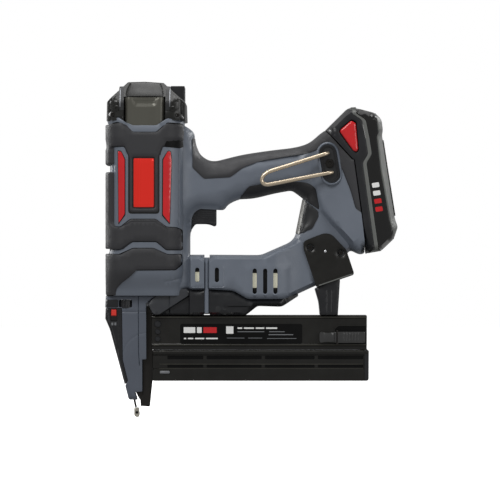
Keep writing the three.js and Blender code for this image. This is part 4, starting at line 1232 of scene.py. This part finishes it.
# ---- trigger and hook -------------------------------------------------------------------------
TRIGGER = [
    (42.4, 174.6, 0.8), (45.6, 179.5, 3), (47.3, 180.6, 2), (58.6, 180.6, 4), (64.4, 178.3, 1),
    (66.3, 179.3, 1.5), (66.3, 197.3), (42.6, 197.3),
]
RING_ENDS = (169.9, 246.2), (173.2, 226.6)  # middles of the two rounds of the ring
BLOCK_ENDS = (169.8, 246.4), (173.3, 226.4)
WIRE_Y = -32.7
WIRE_RADIUS = 1.85


def build_trigger():
    creases = [([(44.6, z), (64.9, z)], 0.5, 0.45) for z in np.arange(183.2, 196.5, 1.9)]
    panel("trigger", "trigger_lever", BLACK, Side(7.9), [outline(TRIGGER, step=1.2)], edge=1.4,
          through=True, both=False, spacing=2.4, creases=creases, replaces=["trigger"])


def build_hook_block():
    panel("hook_ring", "tool", GREY, Side(30.6), [capsule(*RING_ENDS, 10.3), capsule(*RING_ENDS, 7.9)],
          edge=1.1, under=12, spacing=3, both=False)
    panel("hook_block", "tool", BLACK, Side(31), [capsule(*BLOCK_ENDS, 7.7), capsule(*BLOCK_ENDS, 5.9)],
          edge=0.5, under=11, spacing=3, both=False, replaces=["hook_block"])
    panel("hook_pocket", "tool", SOFT_BLACK, Side(29.4), [capsule(*BLOCK_ENDS, 6.3)], edge=0.3, under=8,
          spacing=3, both=False)


def hook_path():
    """The wire: straight out from the block, round a bend and straight back, its ends turned inwards."""
    start, end = np.array([170.6, 246.3]), np.array([174.5, 228.4])
    controls = [np.array(p) for p in ((117.1, 229.6), (105.9, 226.1), (105.9, 215.3), (116, 217.2))]
    top = [start + (controls[0] - start) * t for t in np.linspace(0, 1, 22)]
    bend = []
    for t in np.linspace(0, 1, 18)[1:-1]:
        weights = ((1 - t) ** 3, 3 * t * (1 - t) ** 2, 3 * t * t * (1 - t), t**3)
        bend.append(sum(w * c for w, c in zip(weights, controls)))
    bottom = [controls[3] + (end - controls[3]) * t for t in np.linspace(0, 1, 22)]
    flat = np.array(top + bend + bottom)
    path = np.column_stack([flat[:, 0], np.full(len(flat), WIRE_Y), flat[:, 1]])
    from_end = np.minimum(np.arange(len(path)), np.arange(len(path))[::-1])
    path[:, 1] += np.array([1.9, 0.4])[from_end.clip(0, 1)] * (from_end < 2)
    return path, np.where(from_end == 0, 0.72, 1.0)


def build_hook_wire():
    path, taper = hook_path()
    tube("hook_wire", "tool", HOOK, path, WIRE_RADIUS, replaces=["hook_wire"], taper=taper)
    head = [(0, 0), (4.4, 0), (4.4, -1.6), (3.9, -2.1), (2.3, -2.1), (2.0, -1.2), (0, -1.2)]
    turned("hook_screw", "tool", DARK_STEEL, head, (171.5, -29.3, 236.6), sides=6, replaces=["hook_screw"],
           sharp=30)


# ---- magazine -------------------------------------------------------------------------------
BODY_SECTION = [
    (-5.6, 63.4), (-10.6, 63.4), (-10.6, 66.8), (-12.2, 67.4), (-12.2, 68.5), (-11.6, 68.9), (-11.6, 92.4),
    (-12.4, 93.0), (-12.4, 94.3), (-11.2, 95.4),
]
COVER_SECTION = [
    (-5.7, 62.6), (-10.3, 62.6), (-10.3, 58.6), (-6.6, 58.6), (-6.6, 45.4), (-10.3, 45.4), (-10.3, 36.0),
    (-8.6, 34.4),
]
COVER_PLATE = [(6.8, 34.2, 1.5), (208.4, 34.2, 2), (208.5, 62.8, 1), (6.8, 62.8, 0.6)]
COVER_END = [(204.6, 34.5, 1), (208.5, 34.5, 1.5), (208.6, 57.5), (208.6, 63, 1), (204.6, 63, 0.5)]
COVER_RIBS = (55.6, 110.1, 159.5)
LATCH_RECESS = [
    (176.7, 80.4), (176.9, 82.5, 1), (179.5, 85.4, 2), (205.7, 85.4), (205.7, 68.6), (176.7, 68.6),
]
LATCH_HOOD = [(175.6, 84), (178.6, 87, 2), (206.2, 87), (206.2, 85.4), (179.7, 85.4, 2), (177.2, 82.6)]
LATCH = [
    (162.4, 71.4, 1), (163.6, 70, 1), (170, 71, 3), (176.6, 70.2, 1), (177, 69.8), (205, 69.8, 1),
    (205, 80.2, 1), (177, 80.2), (176.6, 80, 1), (170, 79, 3), (163.6, 80.2, 1), (162.4, 78.8, 1),
]


def mirrored(half_section):
    """A YZ section from its left half, listed from the inside bottom round to the top."""
    return half_section + [(-y, z) for y, z in half_section[::-1]]


def build_magazine():
    body_section = mirrored(BODY_SECTION) + [(5.6, 92.2), (-5.6, 92.2)]
    bar_x("magazine_body", BODIES["magazine_body"], METAL, body_section, 5.8, 206.7, 0.35,
          replaces=["magazine_body"])
    cover_section = mirrored(COVER_SECTION) + [(5.7, 37.0), (-5.7, 37.0)]
    bar_x("magazine_cover", BODIES["magazine_cover"], METAL, cover_section, 6.4, 207.6, 0.3,
          replaces=["magazine_cover"])


def cover_relief(p):
    """The rod along the top edge of the cover, and the bar along the middle of its recess."""
    z = p[:, 1]
    rod = 1.3 * np.sqrt(np.clip(1 - ((z - 61) / 1.9) ** 2, 0, 1))
    recess = -1.6 * smooth((z - 45.6) / 0.5) * smooth((58.4 - z) / 0.5)
    recess += 0.6 * smooth((z - 49.6) / 0.6) * smooth((54.6 - z) / 0.6)
    return rod + recess


def build_cover_plate():
    body = BODIES["magazine_cover"]
    starts = (20.6, *(rib + 1.6 for rib in COVER_RIBS))
    ends = (*(rib - 1.6 for rib in COVER_RIBS), 203.4)
    slots = [
        rectangle(start, end, low, high, 0.6, 4)
        for start, end in zip(starts, ends) for low, high in ((54.4, 57.6), (46.6, 49.4))
    ]
    lines = [[(8, z), (207.5, z)] for z in (45.5, 46.1, 58, 58.5, 59.3, 61, 62)]
    panel("cover_plate", body, METAL, Side(11.2), [outline(COVER_PLATE, step=4), *slots], edge=0.5,
          under=1.1, spacing=6, lines=lines, shape=cover_relief)
    panel("cover_shade", body, INK_AND_SHADE, Side(9.7), [rectangle(19.5, 204.5, 45.6, 58.4, 0.5, 6)], edge=0.1,
          under=0.4, spacing=8, slot="black_metal")


def build_cover_fittings():
    body = BODIES["magazine_cover"]
    for side, sign in SIDES:
        path = [(x, sign * 11.55, 42.3) for x in (13.6, 14.2, 22, 22.8)]
        tube(f"cover_lamp_{side}", body, LABEL_GREY, path, 1.5, 12, taper=[0.6, 1, 1, 0.6])
    # Lighter strips along the cover's edges: painted highlight where the bevels catch the light.
    for i, (low, high, out) in enumerate(((61.6, 62.4, 12.2), (49.5, 50.1, 10.2), (45.3, 45.9, 11.1))):
        panel(f"cover_edge_{i + 1}", body, EDGE, Side(out), [rectangle(13, 203, low, high, 0.2, 8)],
              rise=0.15, edge=0.1, under=0.1, spacing=6)
    panel("cover_end", body, BLACK, Side(12.1), [outline(COVER_END)], edge=0.5, under=1.4, spacing=3,
          slot="black_metal")


def label_marks():
    """Plain bars in place of lettering: (material, x from, x to, z from, z to)."""
    marks = [
        (WHITE, 35.8, 46.6, 79, 84.4), (WHITE, 48.2, 52.6, 79, 84.4), (RED, 54.2, 66.6, 79, 84.4),
        (WHITE, 75.4, 82.2, 78.3, 85.2),
    ]
    rows = ((36.0, (2.2, 5, 8.6, 11), 73.2, 74.5), (86.0, (4.4, 9.4, 8.0, 10.4), 82.8, 84.2))
    for x, widths, low, high in rows:
        for width in widths:
            marks.append((WHITE, x, x + width, low, high))
            x += width + 1.6
    return marks + [
        (LABEL_GREY, 86, 111, 79.8, 80.5), (LABEL_GREY, 115.6, 130, 79.8, 80.5),
        (LABEL_GREY, 115, 138, 77, 77.8), (LABEL_GREY, 76, 92.5, 74, 74.5),
        (LABEL_GREY, 96, 109, 74, 74.5), (LABEL_GREY, 113.6, 141, 73.6, 74.1),
    ]


def build_label():
    body = BODIES["magazine_body"]
    panel("label", body, INK_AND_SHADE, Side(11.6), [rectangle(32.6, 146.4, 68.9, 87.5, 2)], rise=0.35, edge=0.2,
          under=0.2, spacing=8)
    for i, (material, x0, x1, z0, z1) in enumerate(label_marks()):
        panel(f"label_mark_{i + 1}", body, material, Side(11.85), [rectangle(x0, x1, z0, z1, 0.3, 6)],
              rise=0.12, edge=0, under=0.1, spacing=6, both=False)


def build_body_fittings():
    body = BODIES["magazine_body"]
    # Lighter strips along the body's top and lower edges: painted highlight where the bevels catch the
    # light.
    for i, (low, high, out) in enumerate(((93.3, 94.3, 12.4), (67.5, 68.3, 12.2))):
        panel(f"body_edge_{i + 1}", body, EDGE, Side(out), [rectangle(7.2, 206.2, low, high, 0.2, 8)],
              rise=0.12, edge=0.1, under=0.1, spacing=6)
    face = Side(11.6)
    # The latch recess is near-black: painted shade in the recess.
    panel("latch_recess", body, INK_AND_SHADE, face, [outline(LATCH_RECESS)], rise=0.22, edge=0.15, under=0.2,
          spacing=5, both=False)
    panel("latch_hood", body, METAL, face, [outline(LATCH_HOOD)], rise=1.0, edge=0.5, under=0.2, spacing=4,
          both=False)
    for i, (z, r) in enumerate(((87.4, 3.2), (80.2, 2.6), (73.4, 2.6))):
        profile = [(0, 0), (r, 0), (r, 1.0), (r - 0.6, 1.6), (0, 1.7)]
        for side, sign in SIDES:
            stud(f"front_knob_{i + 1}_{side}", body, BLACK, profile, (11.6, 11.6, z), sign)


def latch_relief(p):
    """The waist of the latch, the saddle for the thumb and the step where the lever starts."""
    x = p[:, 0]
    waist = -0.6 * smooth((x - 166) / 2) * smooth((176 - x) / 2)
    saddle = -0.7 * smooth((x - 182) / 8) * smooth((203 - x) / 8)
    step = -1.1 * smooth((x - 175.8) / 0.5) * smooth((179.6 - x) / 0.5)
    return waist + saddle + step


def latch_inner(p):
    """The inner face falls away behind the pivot, where the lever swings in."""
    return 12.2 + np.maximum(0, p[:, 0] - 177) * 0.1


def build_latch():
    lines = [[(x, 70.9), (x, 79.2)] for x in (175.8, 176.3, 179.1, 179.6)]
    creases = [([(x, 71.2), (x, 78.8)], 0.5, 0.35) for x in (186, 188.6, 191.2, 193.8, 196.4, 199)]
    panel("magazine_latch", BODIES["magazine_latch"], LIT_LEVER, Plate(16.6, latch_inner),
          [outline(LATCH, step=1.4)], edge=0.6, both=False, spacing=2.6, shape=latch_relief, lines=lines,
          creases=creases, replaces=["magazine_latch"])


# ---- bracket --------------------------------------------------------------------------------
BRACKET = [
    (147.4, 157.3, 2), (147.4, 163.7, 2), (150.3, 165.8, 2), (166.7, 172.2, 4), (173.7, 171.1, 4),
    (187.3, 156.6, 2), (194.4, 135.2, 1), (193.7, 133.1, 0.6), (160.2, 121.7, 0.6), (158.8, 123.9, 0.6),
]
BRACKET_LIP = [
    (159.4, 124.6, 0.4), (193.8, 136.6, 0.4), (194.3, 134.9, 0.5), (193.7, 133.2, 0.4),
    (160.2, 121.8, 0.4), (159, 123.6, 0.4),
]
BRACKET_HIGHLIGHT = [(161.6, 123.9), (192.8, 134.6), (193.1, 133.7), (161.9, 123.0)]
BRACKET_SCREWS = {"front": (153.8, 158.7), "rear": (182.3, 153.7)}
STRUT = [
    (160.9, 121.6), (181.5, 142), (181.5, 128, 1), (179.5, 95.8), (163.1, 95.8), (162, 107.4, 3),
    (158.4, 119.9, 0.5),
]


def dimpled(p):
    """The plate is pressed in round its screws."""
    depth = 0 * p[:, 0]
    for x, z in BRACKET_SCREWS.values():
        depth -= 0.7 * smooth((5.0 - np.hypot(p[:, 0] - x, p[:, 1] - z)) / 1.2)
    return depth


def build_bracket_plate():
    body = BODIES["bracket_left"]
    screws = BRACKET_SCREWS.values()
    holes = [circle(x, z, 2.9, 20) for x, z in screws]
    rings = [circle(x, z, 4.9, 28) for x, z in screws] + [circle(x, z, 3.9, 24) for x, z in screws]
    panel("bracket", body, METAL, Side(19.9), [outline(BRACKET), *holes], edge=0.6, under=2.0, spacing=4,
          shape=dimpled, lines=[np.vstack([ring, ring[:1]]) for ring in rings], replaces=["bracket_{side}"])
    panel("bracket_lip", body, METAL, Side(20.2), [outline(BRACKET_LIP)], rise=0.6, edge=0.6, under=1.5,
          spacing=3)
    # A grey line along the lower lip of the black bracket: painted highlight where the lip catches the
    # light.
    panel("bracket_edge", body, STRIP, Side(20.6), [outline(BRACKET_HIGHLIGHT, 0.2)], rise=0.4, edge=0.2,
          under=0.4, spacing=3, slot="black_metal")


def build_bracket_screws():
    body = BODIES["bracket_left"]
    screw = [(0, 0), (2.5, 0), (2.5, 1.0), (2.1, 1.5), (1.2, 1.5), (1.2, 0.5), (0, 0.5)]
    rivet = [(0, 0), (1.3, 0), (1.3, 0.6), (0.9, 1.0), (0, 1.1)]
    for side, sign in SIDES:
        for name, (x, z) in BRACKET_SCREWS.items():
            stud(f"bracket_screw_{name}_{side}", body, DARK_STEEL, screw, (x, 18.9, z), sign, 24,
                 replaces=[f"bracket_screw_{name}"] if side == "left" else ())
        stud(f"bracket_rivet_{side}", body, BRIGHT, rivet, (167.7, 19.9, 155.1), sign, 16)


def build_strut():
    creases = [([(170, 118), (170, 97)], 0.8, 0.5), ([(174.5, 118), (174, 97)], 0.8, 0.5)]
    panel("magazine_strut", BODIES["magazine_strut"], BLACK, Side(17.3), [outline(STRUT)], edge=1.2,
          through=True, both=False, spacing=4, slot="black_metal", replaces=["magazine_strut"],
          creases=creases)


# ---- battery --------------------------------------------------------------------------------
PACK = [
    (167.8, 268.1, 0.5), (188.1, 288.2, 2), (194.6, 289.3, 2), (200.6, 288.2, 2), (214.8, 284.4, 3),
    (220.8, 278.2, 3), (222, 268.1, 2), (221.1, 263.9, 2), (226.1, 230.8), (233.1, 186, 2),
    (235.5, 179.1, 2), (235.6, 176.9, 2), (232, 166.4, 2), (220.3, 155.4, 3), (206, 152.8, 1),
]
FIRST_STRIP = [
    (193.6, 288.3), (194, 282.6, 1), (202.9, 276.6, 2), (206.3, 259.7), (208.6, 245, 2), (203.6, 236.9, 2),
    (214.9, 155.8),
]
SECOND_STRIP = [
    (214.6, 284.2), (214.4, 280, 1), (216.4, 265.1, 1), (214.9, 261, 1), (218.4, 230.8, 1), (226.6, 184, 2),
    (228.9, 176, 2), (231.8, 166.5),
]
BEYOND_SECOND = [
    (220.7, 278.2, 3), (221.9, 268.1, 2), (221, 263.9, 2), (226, 230.8), (233, 186, 2), (235.4, 179.1, 2),
    (235.5, 176.9, 2),
]
BUTTON_HOLE = [
    (191.5, 277.4, 1.5), (196.2, 275.0, 1.5), (198.6, 248.3, 1.5), (195.9, 245.8, 1), (192.6, 247.1, 1.5),
    (179.4, 265.7, 1.5), (181.2, 269.1, 1.5),
]
BUTTON_WELL = [
    (191.5, 278.6, 2), (197.2, 275.8, 2), (199.8, 247.8, 2), (196, 244.2, 2), (191.6, 246, 2),
    (177.8, 265.4, 2), (180.2, 270.6, 2),
]
BUTTON = [
    (191.2, 276.1, 1.5), (195.4, 273.7, 1), (197.7, 249.2, 1), (195.8, 247.2, 1), (193.2, 248.2, 1.5),
    (180.6, 265.9, 1.5), (182, 268.2, 1.5),
]
BUTTON_FACET = [(191.6, 271.4, 1), (194.6, 253.6, 1), (185.0, 266.2, 1)]
PACK_FACE = [
    (168.3, 268.1), (193.1, 240.8), (194.8, 240.7), (201.6, 191.2), (206.5, 153.3), (211.6, 154.4),
    (206.6, 191.8), (198.6, 245), (195.2, 246.4), (171.2, 270.6),
]
PACK_FACE_MIDDLE = [
    (168.3, 268.1), (193.1, 240.8), (194.8, 240.7), (198.6, 213.4), (204.4, 214.2), (203.4, 217),
    (198.6, 245), (195.2, 246.4), (171.2, 270.6),
]
SLOT_FLOOR = [
    (211.2, 154.6), (206.2, 191.4), (203.4, 212.6), (204.3, 212.8), (207.2, 191.6), (212.1, 154.8),
]
PACK_BACK = [(221.9, 258.5), (226.15, 230.9), (232.95, 188.3), (231.5, 188), (224.8, 230.6), (220.4, 258.3)]
STRIP_ENDS = {  # half-width and outline of what joins the left and right strips
    "battery_strip_top": (31, [(190.8, 285.6), (190.8, 288.5), (195.8, 288.7), (196.2, 285.6)]),
    "battery_strip_foot": (30, [(207.4, 153.4), (219.6, 155.6), (216.2, 156.8), (212.6, 156.8)]),
}
SLOT_HALF = 12.4  # half of the slot that slides over the terminal block
PACK_RIM = outline(PACK)
PACK_SIDE = Side(36.2, [(PACK_RIM[PACK_RIM[:, 0] > 168], False)], 5.5, wall=2.6)
PACK_RINGS = (1.2, 2.6, 4.4)
PACK_BODY = BODIES["battery_shell"]


def beside(points, shift):
    """Points moved along x, their corner radii kept."""
    return [(p[0] + shift, *p[1:]) for p in points]


def build_battery_tray():
    tray = outline([
        (167.9, 268.1, 0.5), (188.1, 288.1, 2), (191.4, 289), *beside(FIRST_STRIP, -1.9), (206.2, 152.9),
        (201.4, 191.2), (194.6, 240.5, 1), (193, 240.6, 1),
    ])
    panel("battery_tray", PACK_BODY, BLACK, PACK_SIDE, [tray, outline(BUTTON_HOLE, step=1.4)], edge=0.5,
          under="hollow", rings=PACK_RINGS, spacing=4, slot="gloss_black", replaces=["battery_tray"])
    panel("button_well", PACK_BODY, CAP, Side(29.6), [outline(BUTTON_WELL)], edge=0.3, under=1, spacing=4)


def build_battery_shell():
    shell = outline([
        *beside(FIRST_STRIP, 1.9)[::-1], (196, 289), (200.6, 288.1, 2), *beside(SECOND_STRIP, -0.12),
        (220.3, 155.5, 3),
    ])
    panel("battery_shell", PACK_BODY, GLOSS, PACK_SIDE, [shell], edge=0.5, under="hollow", rings=PACK_RINGS,
          spacing=4, replaces=["battery_shell"])


def build_battery_strips():
    inner = outline([*beside(FIRST_STRIP, -1.7), *beside(FIRST_STRIP, 1.7)[::-1]], step=1.5)
    panel("battery_strip_inner", PACK_BODY, STRIP, PACK_SIDE, [inner], rise=0.45, edge=0.5, under=1.2,
          rings=(1.1,), spacing=2.5)
    # The outer strip takes the lighter copy of the strip grey: painted light.
    outer = outline([*beside(SECOND_STRIP, 0.12)[::-1], *BEYOND_SECOND], step=1.5)
    panel("battery_strip_outer", PACK_BODY, LIT_STRIP_COPY, PACK_SIDE, [outer], rise=0.3, edge=0.45,
          under="hollow", rings=(1.2, 2.4, 4), spacing=3)


def build_battery_face():
    """The face towards the foot, open over the slot for the terminal block."""
    def outer(p):
        return np.maximum(PACK_SIDE.width(p) - 1.2, SLOT_HALF + 0.4)

    beside_slot = Plate(outer, lambda p: np.full(len(p), SLOT_HALF))
    panel("battery_face", PACK_BODY, BLACK, beside_slot, [outline(PACK_FACE, 0.3)], edge=0.2, spacing=4,
          slot="gloss_black")
    in_slot = Side(lambda p: np.clip(PACK_SIDE.width(p) - 0.8, 0.3, SLOT_HALF + 0.2))
    loops = {
        "battery_face_middle": outline(PACK_FACE_MIDDLE, 0.3),
        "battery_slot_floor": outline(SLOT_FLOOR),
    }
    for name, loop in loops.items():
        panel(name, PACK_BODY, BLACK, in_slot, [loop], edge=0.1, through=True, both=False, spacing=4,
              slot="gloss_black")


def build_battery_closures():
    """What spans the middle at the back, the top and the foot of the pack."""
    panel("battery_back", PACK_BODY, GLOSS, Side(21), [outline(PACK_BACK, 0.3)], edge=0.25, through=True,
          both=False, spacing=4)
    for name, (half, points) in STRIP_ENDS.items():
        panel(name, PACK_BODY, STRIP, Side(half), [outline(points, 0.3)], edge=0.4, through=True,
              both=False, spacing=3)


def build_charge_bars():
    for i in range(4):
        z = 192 + i * 7.4
        x = 217.4 - (z - 192) * 0.139
        loop = outline([(x - 3.4, z - 0.4), (x + 3.2, z + 0.6), (x + 2.4, z + 4.9), (x - 4.2, z + 3.9)],
                       0.8)
        panel(f"charge_bar_{i + 1}", PACK_BODY, RED if i < 2 else WHITE, Side(36.25), [loop], rise=0.12,
              edge=0.06, under=0.1, spacing=4)


def build_battery_buttons():
    facet = [(outline(BUTTON_FACET, step=1.4), True)]
    for side, _ in SIDES:
        name = f"battery_button_{side}"
        panel(name, BODIES[name], RED, Side(36.0), [outline(BUTTON, step=1.4)], rise=1.2, edge=1.6,
              under=2.6, spacing=2.4, both=False, mirrored=side == "right", replaces=[name],
              shape=lambda p: -0.5 * smooth((1.4 - reach(p, facet)) / 1.4))


# ---- inner pieces ---------------------------------------------------------------------------
KEPT = {  # nodes shown as they are: material and width of the bevel
    "head_cap": (CAP, 0.8),
    "vent_block": (BLACK, 0.4),
    "gas_chamber": (CAST, 0.6),
    "cylinder_sleeve": (BRIGHT, 0.3),
    "bumper": (URETHANE, 0.6),
    "piston": (CAST, 0.3),
    "piston_seal": (SEAL, 0.2),
    "driver_blade": (DARK_STEEL, 0.15),
    "lifter_wheel": (BRIGHT, 0.2),
    "lifter_gear": (DARK_STEEL, 0.1),
    "lifter_bearing_front": (BRIGHT, 0.3),
    "lifter_bearing_rear": (BRIGHT, 0.3),
    "drive_frame": (CAST, 0.5),
    "gearbox": (CAST, 0.6),
    "motor_stator": (COPPER, 0.5),
    "motor_rotor": (BRIGHT, 0.3),
    "motor_fan": (BLACK, 0.2),
    "drive_pinion": (BRIGHT, 0.1),
    "nosepiece": (DARK_STEEL, 0.35),
    "depth_wheel": (BLACK, 0.25),
    "mode_switch": (SWITCH_RED, 0.4),
    "contact_link": (DARK_STEEL, 0.15),
    "trigger_switch": (BLACK, 0.5),
    "magazine_rail": (BRIGHT, 0.2),
    "pusher": (CAST, 0.4),
    "pusher_spring": (BRIGHT, 0.3),
    "latch_pin": (DARK_STEEL, 0.2),
    "control_board": (BOARD, 0.2),
    "terminal_block": (BLACK, 0.4),
    **{f"battery_cell_{i}": (CELL, 0.5) for i in range(1, 6)},
}


def build_spring(name, turns, wire):
    """A coil spring of round wire in place of its node."""
    low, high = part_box(name)
    centre = (low + high) / 2
    radius = (high.x - low.x) / 2 / MM - wire
    height = (high.z - low.z) / MM - 2 * wire
    angles = np.linspace(0, turns * 2 * math.pi, turns * 14)
    rise = np.linspace(0, height, len(angles)) + low.z / MM + wire
    path = np.column_stack([
        centre.x / MM - AXIS_X + radius * np.cos(angles), centre.y / MM + radius * np.sin(angles), rise,
    ])
    spring = tube(f"{name}_coil", "tool", BRIGHT, path, wire, 8, replaces=[name])
    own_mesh(spring)


def dress_kept_nodes():
    """Gives the nodes that are shown as they are a material and softened edges."""
    for name, (material, bevel) in KEPT.items():
        node = frame["nodes"][name]
        node.data.materials.clear()
        node.data.materials.append(material)
        weld = node.modifiers.new("weld", "WELD")
        weld.merge_threshold = 1e-6
        add_bevel(node, bevel)


# ---- camera, light and floor ------------------------------------------------------------------
def area_light(name, place, target, size, power):
    data = bpy.data.lights.new(name, "AREA")
    data.shape = "RECTANGLE"
    data.size = size
    data.size_y = size
    data.energy = power
    lamp = bpy.data.objects.new(name, data)
    lamp.location = place
    lamp.rotation_euler = (Vector(target) - Vector(place)).to_track_quat("-Z", "Y").to_euler()
    bpy.context.scene.collection.objects.link(lamp)


def build_lights(middle):
    area_light("key", (-0.8, -1.4, 1.4), middle, 0.8, 17)
    area_light("fill", (1.4, -1.3, 0.6), middle, 0.9, 6)
    area_light("top", (0.1, 0.0, 1.6), middle, 1.0, 10)
    area_light("rim_left", (-1.2, 0.9, 0.6), middle, 0.7, 10)
    area_light("rim_right", (1.3, 1.0, 0.9), middle, 0.7, 10)


def build_world():
    """White to the camera, a soft grey light to everything else."""
    world = bpy.data.worlds.new("studio")
    world.use_nodes = True
    nodes, links = world.node_tree.nodes, world.node_tree.links
    light = nodes["Background"]
    light.inputs["Color"].default_value = (1, 1, 1, 1)
    light.inputs["Strength"].default_value = 0.31
    backdrop = nodes.new("ShaderNodeBackground")
    backdrop.inputs["Color"].default_value = (1, 1, 1, 1)
    path = nodes.new("ShaderNodeLightPath")
    mix = nodes.new("ShaderNodeMixShader")
    links.new(path.outputs["Is Camera Ray"], mix.inputs["Fac"])
    links.new(light.outputs["Background"], mix.inputs[1])
    links.new(backdrop.outputs["Background"], mix.inputs[2])
    links.new(mix.outputs["Shader"], nodes["World Output"].inputs["Surface"])
    bpy.context.scene.world = world


def build_floor(middle):
    radius, sides, below = 3.0, 64, 0.0004
    mesh = bpy.data.meshes.new("floor")
    angles = [k * 2 * math.pi / sides for k in range(sides)]
    corners = [(middle.x + radius * math.cos(a), radius * math.sin(a), -below) for a in angles]
    mesh.from_pydata(corners, [], [tuple(range(sides))])
    paper = finish("floor_paper", "f4f4f4", 0.9, tone=0.01, bump=0.0, specular=0.1, glow=0.88)
    mesh.materials.append(paper)
    floor = bpy.data.objects.new("floor", mesh)
    bpy.context.scene.collection.objects.link(floor)
    floor.visible_diffuse = False
    floor.visible_glossy = False


def build_camera():
    lens, sensor, width = 200.0, 36.0, 0.465
    data = bpy.data.cameras.new("camera")
    data.lens = lens
    data.sensor_width = sensor
    data.clip_end = 20
    camera = bpy.data.objects.new("camera", data)
    low, high = CAD_BOX
    across = low.x + (high.x - low.x) * 0.4955
    up = low.z + (high.z - low.z) * 0.4998
    camera.location = (across, -0.02 - width * lens / sensor, up)
    camera.rotation_euler = (math.pi / 2, 0, 0)
    bpy.context.scene.collection.objects.link(camera)
    bpy.context.scene.camera = camera


bpy.context.scene.view_settings.view_transform = "Standard"
MIDDLE = Vector(((CAD_BOX[0].x + CAD_BOX[1].x) / 2, 0, CAD_BOX[1].z / 2))
build_camera()
build_lights(MIDDLE)
build_world()
build_floor(MIDDLE)

build_head_shell()
build_upper_band()
build_badge()
build_lower_bands()
build_band_shadows()
build_accents()
build_body_shell()
build_foot_plate()
build_grip_pads()
build_vent_insides()
build_arm_pillars()
build_undershell()
build_cap_cover()
build_cap_studs()
build_cylinder_cap()
build_nose_shroud()
build_nose_cover()
build_nose_core()
build_contact_tip()
build_nosepiece_feet()
build_nose_front()
build_trigger()
build_hook_block()
build_hook_wire()
build_magazine()
build_cover_plate()
build_cover_fittings()
build_label()
build_body_fittings()
build_latch()
build_bracket_plate()
build_bracket_screws()
build_strut()
build_battery_tray()
build_battery_shell()
build_battery_strips()
build_battery_face()
build_battery_closures()
build_charge_bars()
build_battery_buttons()
build_spring("contact_spring", 9, 0.45)
build_spring("trigger_spring", 6, 0.4)
dress_kept_nodes()

bpy.context.view_layer.update()
